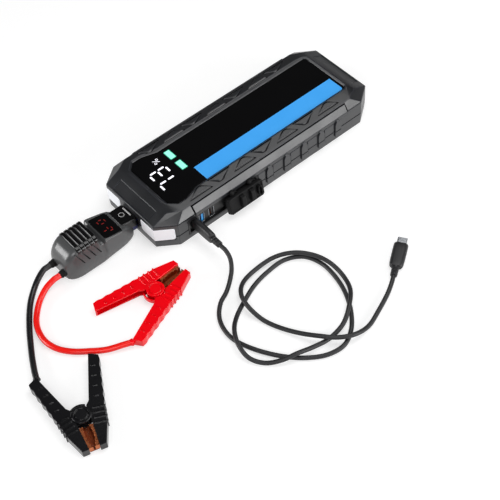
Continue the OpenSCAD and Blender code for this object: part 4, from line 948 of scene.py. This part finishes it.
class JUMPSTARTER_OT_window(bpy.types.Operator):
    """Black window, blue stripe, lit figures and tiles"""

    bl_idname = "jump_starter.window"
    bl_label = "Window and display"

    # Height of the window's face, and how far the lit figures stand over it
    top, lit_high = 31.8 * MM, 0.12 * MM
    # Segment name: middle and direction inside a figure, x towards its top, y to its right
    cell = {"a": (8.2, 0.0, "y"), "b": (4.1, 4.5, "x"), "c": (-4.1, 4.5, "x"), "d": (-8.2, 0.0, "y"),
            "e": (-4.1, -4.5, "x"), "f": (4.1, -4.5, "x"), "g": (0.0, 0.0, "y")}

    def bar(self, length, radius):
        """A lit segment: a thin bar with round ends, its top edge eased."""
        piece = round_bar("segment_model", 20, radius, 2 * self.lit_high, length / 2 - radius)
        rounded(piece, 0.04 * MM, 1, 40)
        return piece

    def figure(self, model, letters, middle):
        """The segments of one figure."""
        parts = []
        for letter in letters:
            up, right, way = self.cell[letter]
            piece = new_copy("segment", model.data)
            piece.data.transform(
                Matrix.Translation((middle[0] - up * MM, middle[1] + right * MM, self.top))
                @ spin(90 if way == "y" else 0, "Z"))
            parts.append(piece)
        return parts

    def execute(self, context):
        finish = finishes()
        eased("display_window", "window_panel", "pack", finish.window, "window_acrylic", 0.2)
        stripe = cad_copy("label_stripe", "stripe_film")
        upright = along(2)
        round_edges(stripe, lambda p, n: upright(p, n) and p.x > 95 * MM and p.y < -20 * MM, 2 * MM, 5)
        rounded(stripe, 0.08 * MM, 1)
        settle(stripe, "pack", finish.stripe, "stripe_film", "label_stripe")

        model = self.bar(6.0 * MM, 0.85 * MM)
        parts = (self.figure(model, "abgcd", (-81.5 * MM, 5.1 * MM))
                 + self.figure(model, "abc", (-81.5 * MM, -8.7 * MM))
                 + self.percent((-75.4 * MM, 18.4 * MM)))
        bpy.data.objects.remove(model)
        settle(joined(parts, "display_figures"), "pack", finish.figures, "window_acrylic")

        tiles = []
        for x, y in ((-62 * MM, 16.8 * MM), (-62 * MM, 1.3 * MM)):
            tile = block("display_tile", (x, y, self.top), (6.2 * MM, 11.2 * MM, 2 * self.lit_high))
            coat(tile, finish.tile, finish.tile_rim)
            round_edges(tile, upright, 0.9 * MM, 4)
            edit(tile)
            pick(tile, "faces", lambda p, n: n.z > 0.9)
            bpy.ops.mesh.inset(thickness=0.55 * MM)
            pick(tile, "faces", lambda p, n: not (n.z > 0.9 and abs(p.x - x) < 1.5 * MM
                                                  and abs(p.y - y) < 1.5 * MM))
            tile.active_material_index = 1
            bpy.ops.object.material_slot_assign()
            object_mode()
            tiles.append(tile)
        settle(joined(tiles, "display_tiles"), "pack", None, "window_acrylic")
        return {"FINISHED"}

    def percent(self, middle):
        """Percent sign: two small rings and a stroke, its top towards the lead end."""
        parts = []
        for dx, dy in ((-1.6, -1.6), (1.6, 1.6)):
            clear_selection()
            bpy.ops.mesh.primitive_torus_add(
                location=(middle[0] + dx * MM, middle[1] + dy * MM, self.top),
                major_radius=0.95 * MM, minor_radius=0.22 * MM, major_segments=24, minor_segments=6)
            ring = applied("percent_ring")
            for vertex in ring.data.vertices:
                vertex.co.z = self.top + (vertex.co.z - self.top) * 0.4
            parts.append(ring)
        stroke = self.bar(6.4 * MM, 0.24 * MM)
        stroke.data.transform(Matrix.Translation((middle[0], middle[1], self.top))
                              @ spin(-40, "Z"))
        parts.append(stroke)
        return parts


class JUMPSTARTER_OT_lamps(bpy.types.Operator):
    """White corner lenses of the two lamps"""

    bl_idname = "jump_starter.lamps"
    bl_label = "Lamps"

    # The lenses reach this far below the CAD solids, and stand this much proud of the case
    drop, proud_x, proud_y = 3.2 * MM, 1.0006, 1.0018

    @staticmethod
    def across(p, n):
        """Whether an edge runs through the thickness of the lens, square to the cut corner."""
        return abs(Vector((-12, math.copysign(16.5, p.y), 0)).normalized().dot(n)) > 0.9 * n.length

    def corner(self, p, n):
        """Whether an edge is one of the lens's corners, as seen from outside."""
        through = self.across(p, n) if abs(p.y) > 20 * MM else abs(n.x) > 0.9 * n.length
        return abs(n.z) < 0.1 * n.length and abs(p.x) > 100 * MM and through

    def execute(self, context):
        finish = finishes()
        for node in ("near_lamp_lens", "far_lamp_lens"):
            lens = cad_copy(node, node + "_moulding")
            for vertex in lens.data.vertices:
                if vertex.co.z < 8 * MM:
                    vertex.co.z -= self.drop
                vertex.co.x *= self.proud_x
                vertex.co.y *= self.proud_y
            round_edges(lens, self.corner, 2.2 * MM, 5)
            rounded(lens, 0.6 * MM, 3)
            settle(lens, "pack", finish.lens, "lamp_lens", node)
        return {"FINISHED"}


class JUMPSTARTER_OT_ports(bpy.types.Operator):
    """Port bezel, two USB-A ports and the USB-C port"""

    bl_idname = "jump_starter.ports"
    bl_label = "Ports"

    def execute(self, context):
        finish = finishes()
        bezel = cad_copy("port_bezel", "port_bezel_moulding", whole=False)
        smooth_again(bezel)
        settle(bezel, "pack", finish.black_plastic, "black_plastic", "port_bezel")
        self.usb_a("usb_a_port_1", finish.tongue_blue, finish)
        self.usb_a("usb_a_port_2", finish.tongue_black, finish)
        eased("usb_c_port", "usb_c_port_shell", "pack", finish.steel, "steel", 0.1, 1)
        return {"FINISHED"}

    @staticmethod
    def inlay(name, middle, size, ease, material):
        """A block with eased edges, inside a port."""
        piece = block(name, middle, size)
        rounded(piece, ease, 2)
        coat(piece, material)
        return piece

    def usb_a(self, node, tongue, finish):
        """Steel shell standing on edge, hollowed from its mouth, with a tongue and four contacts."""
        low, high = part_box(node)
        middle = (low + high) / 2
        shell = block(node + "_shell", middle, high - low)
        coat(shell, finish.steel)
        press_in(shell, 0.5 * MM, 9 * MM)
        rounded(shell, 0.12 * MM, 2)
        spot = (middle.x + 0.9 * MM, low.y + 5 * MM, middle.z)
        parts = [shell, self.inlay("tongue", spot, mm(2.1, 8.6, 10.6), 0.25 * MM, tongue)]
        for i in range(4):
            spot = (middle.x - 0.2 * MM, low.y + 4 * MM, middle.z + (i - 1.5) * 2.4 * MM)
            parts.append(self.inlay("contact", spot, mm(0.3, 5.6, 1.1), 0.06 * MM, finish.copper))
        settle(joined(parts, node + "_shell"), "pack", None, "steel", node)


class JUMPSTARTER_OT_cover(bpy.types.Operator):
    """Rubber port cover and its folded flap"""

    bl_idname = "jump_starter.cover"
    bl_label = "Port cover"

    # Along X in mm: the two stoppers that fill the larger ports
    stoppers = (-40.8, -30.6)
    # The two knobs on the cover's upper edge, which the flap is pulled open by
    knobs = (-47.5, -28.6)
    # The flap's hinge, how far it swings in degrees, and the room kept to the ports' frame
    hinge, swing, clearance = mm(-53.8, -46.45, 0), 115, 2.1 * MM

    def execute(self, context):
        finish = finishes()
        cover = cad_copy("port_cover", "port_cover_rubber")
        rounded(cover, 0.7 * MM, 3)
        profile = ((21.8, 1.8), (22.1, 2.2), (24.2, 2.3), (25.1, 2.0), (25.6, 1.4), (25.8, 0.6))
        parts = [cover] + [post("cover_knob", (x, -45.9, 0), 2, profile, 24) for x in self.knobs]
        cover = joined(parts, "port_cover_rubber")
        settle(cover, "pack", finish.rubber, "black_rubber", "port_cover")
        self.flap(finish)
        return {"FINISHED"}

    def flap(self, finish):
        """Rimmed rubber plate hanging a little outwards from its fold, with its three port stoppers."""
        plate = block("flap_plate", mm(-36.1, -48.6, 13.1), mm(36.4, 3.4, 16.8))
        round_edges(plate, along(1), 2.2 * MM, 6)
        press_in(plate, 1.3 * MM, 0.8 * MM)
        rounded(plate, 0.4 * MM, 3, 40)
        parts = [plate]
        for x in self.stoppers:
            stub = block("flap_stopper", mm(x, -51.0, 13.1), mm(5.0, 4.8, 12.4))
            edit(stub)
            pick(stub, "faces", lambda p, n: n.y < -0.9)
            bpy.ops.transform.resize(value=(0.8, 1.0, 0.86))
            object_mode()
            rounded(stub, 0.7 * MM, 3)
            parts.append(stub)
        ring = block("flap_ring_stopper", mm(-22.6, -50.6, 13.1), mm(4.2, 4.0, 10.0))
        round_edges(ring, along(1), 1.9 * MM, 6)
        press_in(ring, 0.9 * MM, 2.4 * MM)
        rounded(ring, 0.2 * MM, 2, 40)
        parts.append(ring)
        parts.append(post("flap_fold", (-53.7, -47.9, 0), 2,
                          ((5.0, 1.1), (5.3, 1.6), (6.0, 1.9), (9.0, 2.0), (17.5, 2.0), (20.2, 1.9),
                           (20.9, 1.6), (21.2, 1.1)), 24))
        flap = joined(parts, "port_flap_rubber")
        top = shift(0, -46.7, 21.2)
        flap.data.transform(top @ spin(-9, "X") @ top.inverted())
        # The fold's outer side is cut back, so that the swung flap clears the ports' frame
        turn = math.radians(self.swing)
        for vertex in flap.data.vertices:
            out = self.hinge.y - vertex.co.y
            room = (self.clearance + out * math.cos(turn)) / math.sin(turn)
            vertex.co.x = max(vertex.co.x, self.hinge.x - room)
        settle(flap, "port_flap", finish.rubber, "black_rubber", "port_flap")


class JUMPSTARTER_OT_controls(bpy.types.Operator):
    """Power button, case screws and their rubber plugs"""

    bl_idname = "jump_starter.controls"
    bl_label = "Button and screws"

    def execute(self, context):
        finish = finishes()
        eased("power_button", "power_button_cap", "power_button", finish.rubber, "black_rubber", 0.6, 3)
        for node, body, material, slot, width in (
                ("screw_plugs", "pack", finish.rubber, "black_rubber", 0.3),
                ("case_screws", "pack", finish.steel, "steel", 0.2),
                ("module_screws", "lead_set", finish.steel, "steel", 0.15)):
            eased(node, node + "_set", body, material, slot, width, 2, 50)
        return {"FINISHED"}


class JUMPSTARTER_OT_module(bpy.types.Operator):
    """Grey lead module with its black grip bars, window, vents and grommets"""

    bl_idname = "jump_starter.module"
    bl_label = "Lead module"

    # Along X in mm: place, half width, bottom, top, lean of the sides, bottom and top rounding
    sections = (
        (-193.0, 8.5, 4.0, 13.0, 1.0, 3.0, 3.5), (-192.7, 10.6, 2.4, 15.6, 1.4, 3.2, 4.5),
        (-191.9, 12.4, 1.3, 18.4, 2.0, 3.2, 5.5), (-190.4, 13.9, 0.6, 21.6, 2.6, 3.0, 6.0),
        (-188.2, 15.1, 0.2, 24.6, 3.2, 3.0, 6.0), (-185.4, 16.1, 0.0, 27.1, 3.8, 3.0, 5.5),
        (-182.5, 16.7, 0.0, 28.6, 4.2, 3.0, 5.0), (-179.5, 17.0, 0.0, 29.3, 4.4, 3.0, 4.6),
        (-176.0, 17.0, 0.0, 29.4, 4.5, 3.0, 4.4), (-170.0, 17.0, 0.0, 29.4, 4.5, 3.0, 4.4),
        (-163.5, 17.0, 0.0, 29.4, 4.5, 3.0, 4.4), (-161.4, 17.0, 0.0, 29.1, 4.5, 3.0, 4.2),
        (-160.4, 17.0, 0.0, 28.2, 4.4, 3.0, 4.0), (-159.8, 17.0, 0.0, 26.2, 4.0, 3.0, 3.6),
        (-159.4, 16.9, 0.0, 23.8, 3.6, 3.0, 3.2), (-158.9, 16.9, 0.0, 21.9, 3.2, 3.0, 3.0),
        (-158.0, 16.8, 0.0, 21.0, 3.0, 3.0, 3.0), (-156.8, 16.7, 0.0, 20.9, 3.0, 3.0, 3.0),
        (-155.9, 16.6, 0.0, 21.3, 3.0, 3.0, 3.2), (-155.2, 16.5, 0.0, 22.3, 1.6, 3.0, 2.4),
        (-154.4, 16.4, 0.0, 23.1, 0.9, 3.0, 2.2), (-153.0, 16.2, 0.0, 23.4, 0.7, 3.0, 2.2),
        (-150.0, 15.9, 0.0, 22.9, 0.6, 3.0, 2.2), (-144.0, 15.4, 0.0, 21.7, 0.6, 3.0, 2.2),
        (-138.0, 14.9, 0.0, 20.5, 0.6, 3.0, 2.2), (-134.0, 14.2, 0.0, 19.6, 0.7, 3.0, 2.4),
        (-130.5, 13.2, 0.1, 18.3, 1.4, 3.0, 3.6), (-127.6, 12.1, 0.5, 17.0, 2.0, 3.0, 4.4),
        (-125.6, 11.0, 1.2, 15.4, 1.6, 3.0, 4.0), (-124.4, 9.8, 2.2, 13.9, 1.2, 2.6, 3.4),
        (-124.0, 8.6, 3.2, 12.6, 1.0, 2.2, 2.8))

    # Height of the seam in mm, and the middle and slope of the window
    seam, window_middle = 5, (-144.6, -0.6, 21.8)
    window_slope = math.atan2(23.0 - 19.0, 21.0)

    @staticmethod
    def ring(x, half, bottom, top, lean, low_round, high_round, arc=7):
        """One cross-section: a tall rounded block, widest a third of the way up."""
        belly = bottom + 0.34 * (top - bottom)
        corners = ((half - 1.0, bottom, low_round), (half, belly, 6.0), (half - lean, top, high_round))
        corners = [(-y, z, r) for y, z, r in corners] + [(y, z, r) for y, z, r in reversed(corners)]
        ring = []
        for i, (y, z, r) in enumerate(corners):
            here = Vector((y, z))
            before = Vector(corners[i - 1][:2]) - here
            after = Vector(corners[(i + 1) % len(corners)][:2]) - here
            cut = min(r, before.length / 2.2, after.length / 2.2)
            a, b = here + before.normalized() * cut, here + after.normalized() * cut
            for k in range(arc):
                t = k / (arc - 1)
                p = a * (1 - t) ** 2 + here * 2 * t * (1 - t) + b * t ** 2
                ring.append(mm(x, p.x, p.y))
        return ring

    def execute(self, context):
        finish = finishes()
        body = loft("module_model", [self.ring(*s) for s in self.sections], 60)
        halves = []
        for name, upper in (("module_top_housing", True), ("module_bottom_housing", False)):
            half = new_copy(name, body.data)
            edit(half)
            bpy.ops.mesh.bisect(plane_co=(0, 0, self.seam * MM), plane_no=(0, 0, 1), use_fill=True,
                                clear_inner=upper, clear_outer=not upper)
            object_mode()
            halves.append(half)
        bpy.data.objects.remove(body)
        top, bottom = halves
        combine(top, self.on_slope(self.window_block("seat", 8.9, 13.0, -1.2, 5, 2.2)))
        self.cut_vents(top)
        for half in halves:
            rounded(half, 0.25 * MM, 2, 40)
        settle(top, "lead_set", finish.module, "module_plastic", "module_top")
        settle(bottom, "lead_set", finish.module, "module_plastic", "module_bottom")
        self.grip(finish)
        self.window(finish)
        self.grommets(finish)
        return {"FINISHED"}

    @staticmethod
    def window_block(name, half_x, half_y, low, high, corner):
        """A block with rounded upright edges between two heights, in mm."""
        piece = block(name, mm(0, 0, (low + high) / 2), mm(2 * half_x, 2 * half_y, high - low))
        round_edges(piece, along(2), corner * MM, 6)
        return piece

    def on_slope(self, piece):
        """Lays a piece in the slope of the module's window."""
        piece.data.transform(shift(*self.window_middle) @ Matrix.Rotation(self.window_slope, 4, "Y"))
        return piece

    @staticmethod
    def cut_vents(top):
        """Four slanting slots in each side of the module."""
        for side in (-1, 1):
            for i in range(4):
                slot = round_bar("vent_cutter", 16, 0.42 * MM, 8 * MM, 6.2 * MM)
                slot.data.transform(shift(-179.5 + 5.5 * i, side * 16.2, 20.5)
                                    @ spin(-24, "Y") @ spin(90, "Y") @ spin(90, "X"))
                combine(top, slot)

    def grip(self, finish):
        """Five black bars laid over the module's back and down onto its shoulders."""
        bars = []
        for i in range(5):
            x = -178.2 + 4.2 * i
            outline = self.ring(x, 17.0, 0.0, 29.4, 4.5, 3.0, 4.4, 9)
            over = [p for p in outline if p.z > 22.0 * MM]
            over.sort(key=lambda p: p.y)
            rings = []
            for j, p in enumerate(over):
                a, b = over[max(j - 1, 0)], over[min(j + 1, len(over) - 1)]
                along_bar = (b - a).normalized()
                out = X.cross(along_bar).normalized()
                out = out if out.z > 0 or out.y * p.y > 0 else -out
                end = min(j, len(over) - 1 - j)
                proud = (0.25, 0.6, 0.75, 0.8)[min(end, 3)] * MM
                half = (1.2, 1.55, 1.65, 1.65)[min(end, 3)] * MM
                rings.append([p + X * half * wide + out * rise for wide, rise in (
                    (-1, -MM), (-1, proud * 0.55), (-0.72, proud), (0.72, proud), (1, proud * 0.55),
                    (1, -MM))])
            bars.append(loft("grip_bar", rings, 35))
        grip = joined(bars, "module_grip_bars")
        settle(grip, "lead_set", finish.gloss_black, "black_plastic", "module_grip")

    def window(self, finish):
        """Black window in its seat, with a few dim figures behind it."""
        pane = self.on_slope(self.window_block("module_window_pane", 8.7, 12.8, -1.1, -0.15, 2.0))
        rounded(pane, 0.3 * MM, 2)
        settle(pane, "lead_set", finish.window, "window_acrylic", "module_window")
        parts = []
        for x, y, turn in ((-3.4, 5.6, 90), (-0.2, 3.0, 0), (0.0, 7.6, 0), (3.4, 5.4, 90),
                           (-3.4, -5.2, 0), (0.0, -3.4, 90), (3.2, -5.0, 90), (1.6, -7.2, 0)):
            mark = round_bar("dim_mark", 12, 0.42 * MM, 0.16 * MM, 0.9 * MM)
            mark.data.transform(shift(x, y, -0.12) @ spin(turn, "Z"))
            rounded(mark, 0.03 * MM, 1, 40)
            parts.append(self.on_slope(mark))
        settle(joined(parts, "module_dim_figures"), "lead_set", finish.dim_red, "window_acrylic")

    @staticmethod
    def grommets(finish):
        """Stepped rubber sleeves where the leads leave the module."""
        profile = ((2.0, 2.8), (0.2, 2.8), (0.0, 3.3), (-0.4, 3.5), (-1.2, 3.5), (-1.5, 3.1), (-2.2, 3.0),
                   (-2.4, 3.3), (-3.0, 3.2), (-3.3, 2.9), (-4.0, 2.9), (-4.3, 2.8), (-4.5, 2.5))
        sleeves = [post("sleeve", (-193.0, y, 9), 0, profile, 28) for y in (-8, 6)]
        settle(joined(sleeves, "lead_sleeves"), "lead_set", finish.rubber, "black_rubber", "lead_grommets")


class JUMPSTARTER_OT_plug(bpy.types.Operator):
    """Navy plug housing under its black collar"""

    bl_idname = "jump_starter.plug"
    bl_label = "Plug"

    # Fall of the collar's top towards the case
    slope = math.atan2(1.36, 14.9)

    def execute(self, context):
        finish = finishes()
        eased("plug_housing", "plug_housing_moulding", "lead_set", finish.plug, "plug_plastic", 0.5)
        collar = block("plug_collar_moulding", mm(-126.85, 0.6, 14.2), mm(14.9, 21.4, 8.8))
        edit(collar)
        pick(collar, "faces", lambda p, n: n.x < -0.9)
        bpy.ops.transform.resize(value=(1.0, 0.9, 0.9))
        bpy.ops.transform.translate(value=(0, 0, 1.8 * MM))
        round_edges(collar, along(2, 0.6), 2.2 * MM, 5)
        rounded(collar, 0.9 * MM, 4, 40)
        settle(collar, "lead_set", finish.gloss_black, "black_plastic", "plug_collar")

        clear_selection()
        bpy.ops.mesh.primitive_torus_add(major_radius=2.3 * MM, minor_radius=0.2 * MM,
                                         major_segments=48, minor_segments=8)
        ring = applied("collar_ring")
        for vertex in ring.data.vertices:
            vertex.co.z *= 0.5
        self.lay(ring, -126.9, 1.2, 19.5)
        settle(ring, "lead_set", finish.white_print, "black_plastic")

        mark = block("collar_mark", (0, 0, 0), mm(1.2, 11.0, 0.3))
        self.lay(mark, -121.3, 1.6, 18.75)
        round_edges(mark, along(2, 0.8), 0.45 * MM, 4)
        rounded(mark, 0.03 * MM, 1, 40)
        settle(mark, "lead_set", finish.white_print, "black_plastic")
        return {"FINISHED"}

    def lay(self, piece, x, y, z):
        """Lays a printed mark on the sloping top of the collar."""
        piece.data.transform(shift(x, y, z) @ Matrix.Rotation(self.slope, 4, "Y"))


class JUMPSTARTER_OT_clamps(bpy.types.Operator):
    """Red and black clamp: two plastic halves, copper jaws, pin and spring each"""

    bl_idname = "jump_starter.clamps"
    bl_label = "Clamps"

    # Colour: pivot in mm and turn of the clamp in degrees
    places = {"red": ((-148.7, -70.6), 7), "black": ((-260, -125), 253)}
    # Behind here the black clamp's free handle is drawn out by this share, a little sideways
    handle_start, growth, drift = -12 * MM, 0.11, Vector((1, -0.25, 0))
    # The collar round a lead at a clamp's tail: outer radius in the CAD solid, and as it is drawn in
    collar_radius, entry_radius = 3.5 * MM, 2.6 * MM

    def execute(self, context):
        finish = finishes()
        for colour, material, slot in (("red", finish.red_clamp, "red_plastic"),
                                       ("black", finish.black_clamp, "clamp_black_plastic")):
            for half, body in (("fixed", "lead_set"), ("moving", colour + "_clamp_half")):
                node = f"{colour}_{half}_half"
                shell = cad_copy(node, node + "_moulding")
                if half == "fixed":
                    self.slim_entry(shell, RED_ROUTE if colour == "red" else BLACK_ROUTE)
                elif colour == "black":
                    self.lengthen(shell, colour)
                rounded(shell, 0.45 * MM, 3, 30)
                # The rounding must not dip into the floor
                for vertex in shell.data.vertices:
                    vertex.co.z = max(vertex.co.z, 0.02 * MM)
                settle(shell, body, material, slot, node)
                node = f"{colour}_{half}_jaw"
                jaw = cad_copy(node, node + "_strip")
                rounded(jaw, 0.15 * MM, 2)
                coat(jaw, finish.copper)
                web = self.jaw_floor(colour, -1 if half == "fixed" else 1)
                # The web gets the darker copper: painted shade for the gap between the jaws
                coat(web, finish.tarnished)
                settle(joined([jaw, web], jaw.name), body, None, "copper", node)
            eased(f"{colour}_pin", f"{colour}_pivot_pin", "lead_set", finish.steel, "steel", 0.35, 3, 50)
            self.spring(colour, finish)
        return {"FINISHED"}

    def place(self, colour):
        """From a clamp's own frame, pivot at its origin and jaws along +X, to where it lies."""
        (x, y), turn = self.places[colour]
        return shift(x, y, 0) @ spin(turn, "Z")

    def lengthen(self, shell, colour):
        """Draws the free handle out behind the pivot."""
        there = self.place(colour)
        back = there.inverted()
        for vertex in shell.data.vertices:
            spot = back @ vertex.co
            if spot.x < self.handle_start:
                spot += (spot.x - self.handle_start) * self.growth * self.drift
                vertex.co = there @ spot

    def slim_entry(self, shell, route):
        """Draws the collar at the tail in close round the lead."""
        end = route[-1]
        way = (end - route[-2]).normalized()
        for vertex in shell.data.vertices:
            from_end = vertex.co - end
            depth = from_end.dot(way)
            out = from_end - way * depth
            if self.entry_radius < out.length < self.collar_radius and -4 * MM < depth < 1 * MM:
                vertex.co = end + way * depth + out * (self.entry_radius / out.length)

    def jaw_floor(self, colour, side):
        """The folded-in lower web of a jaw: a thin toothed copper plate that almost meets the other."""
        clear_selection()
        bpy.ops.mesh.primitive_grid_add(x_subdivisions=36, y_subdivisions=1, size=2)
        web = applied("jaw_web")
        there = self.place(colour)
        for vertex in web.data.vertices:
            share = (vertex.co.x + 1) / 2
            wave = 0.5 * math.sin(12 * math.pi * share)
            y = side * 0.04 + wave if vertex.co.y < 0 else side * (5.6 - 2.0 * share)
            vertex.co = there @ mm(7.5 + 20.9 * share, y, 1.9)
        edit(web)
        draw_out(-1.0 * MM)
        rounded(web, 0.12 * MM, 2, 50)
        return web

    def spring(self, colour, finish):
        """Torsion spring round the pin, one leg into each handle."""
        turns, pitch, radius, start = 1.25, 0.9, 4.2, 290
        steps = 40
        count = round(turns * steps)
        coil = []
        for i in range(count + 1):
            turn = math.radians(start + 360 * i / steps)
            coil.append(Vector((radius * math.cos(turn), radius * math.sin(turn),
                                4.3 - turns * pitch / 2 + i * pitch / steps)))
        first = math.radians(start + 90)
        last = first + math.radians(360 * turns)
        path = ([coil[0] - 7 * Vector((math.cos(first), math.sin(first), 0))] + coil
                + [coil[-1] + 13 * Vector((math.cos(last), math.sin(last), 0))])
        place = self.place(colour)
        low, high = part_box(colour + "_spring")
        wire = (high.z - low.z - turns * pitch * MM) / 2
        spring = loft(colour + "_spring_wire", tube_rings([place @ (p * MM) for p in path], wire, 12), 60)
        settle(spring, "lead_set", finish.steel, "steel", colour + "_spring")


class JUMPSTARTER_OT_inside(bpy.types.Operator):
    """Finishes of the CAD pieces inside the case and the module"""

    bl_idname = "jump_starter.inside"
    bl_label = "Inner pieces"

    def execute(self, context):
        finish = finishes()
        for material, nodes in (
                (finish.board, ("lamp_boards", "cell_link_board", "main_board", "module_board")),
                (finish.copper, ("socket_contacts", "power_bars", "plug_contacts")),
                (finish.pouch, ("battery_cells",)),
                (finish.foam, ("lower_foam", "upper_foam")),
                (finish.steel, ("button_switch",)),
                (finish.black_plastic, ("display_module", "lead_socket", "module_relays"))):
            for node in nodes:
                NODES[node].data.materials.clear()
                coat(NODES[node], material)
        return {"FINISHED"}


STEPS = (
    JUMPSTARTER_OT_stage, JUMPSTARTER_OT_leads, JUMPSTARTER_OT_cable, JUMPSTARTER_OT_case,
    JUMPSTARTER_OT_window, JUMPSTARTER_OT_lamps, JUMPSTARTER_OT_ports, JUMPSTARTER_OT_cover,
    JUMPSTARTER_OT_controls, JUMPSTARTER_OT_module, JUMPSTARTER_OT_plug, JUMPSTARTER_OT_clamps,
    JUMPSTARTER_OT_inside)


class JUMPSTARTER_PT_panel(bpy.types.Panel):
    """Lists the sizes, colours and steps"""

    bl_idname = "JUMPSTARTER_PT_panel"
    bl_label = "Jump starter pack"
    bl_space_type = "VIEW_3D"
    bl_region_type = "UI"
    bl_category = "Jump starter"

    def draw(self, context):
        for look in ("case_look", "lead_look", "cable_look", "stage_look"):
            group = getattr(context.scene, look)
            box = self.layout.box()
            for key in group.__annotations__:
                box.prop(group, key)
        for step in STEPS:
            self.layout.operator(step.bl_idname)


LOOKS = {"case_look": CaseLook, "lead_look": LeadLook, "cable_look": CableLook, "stage_look": StageLook}


def register():
    for look, group in LOOKS.items():
        bpy.utils.register_class(group)
        setattr(bpy.types.Scene, look, bpy.props.PointerProperty(type=group))
    for step in STEPS + (JUMPSTARTER_PT_panel,):
        bpy.utils.register_class(step)


def unregister():
    for step in reversed(STEPS + (JUMPSTARTER_PT_panel,)):
        bpy.utils.unregister_class(step)
    for look, group in LOOKS.items():
        delattr(bpy.types.Scene, look)
        bpy.utils.unregister_class(group)


def main():
    register()
    for step in STEPS:
        area, name = step.bl_idname.split(".")
        getattr(getattr(bpy.ops, area), name)()


if __name__ == "__main__":
    main()
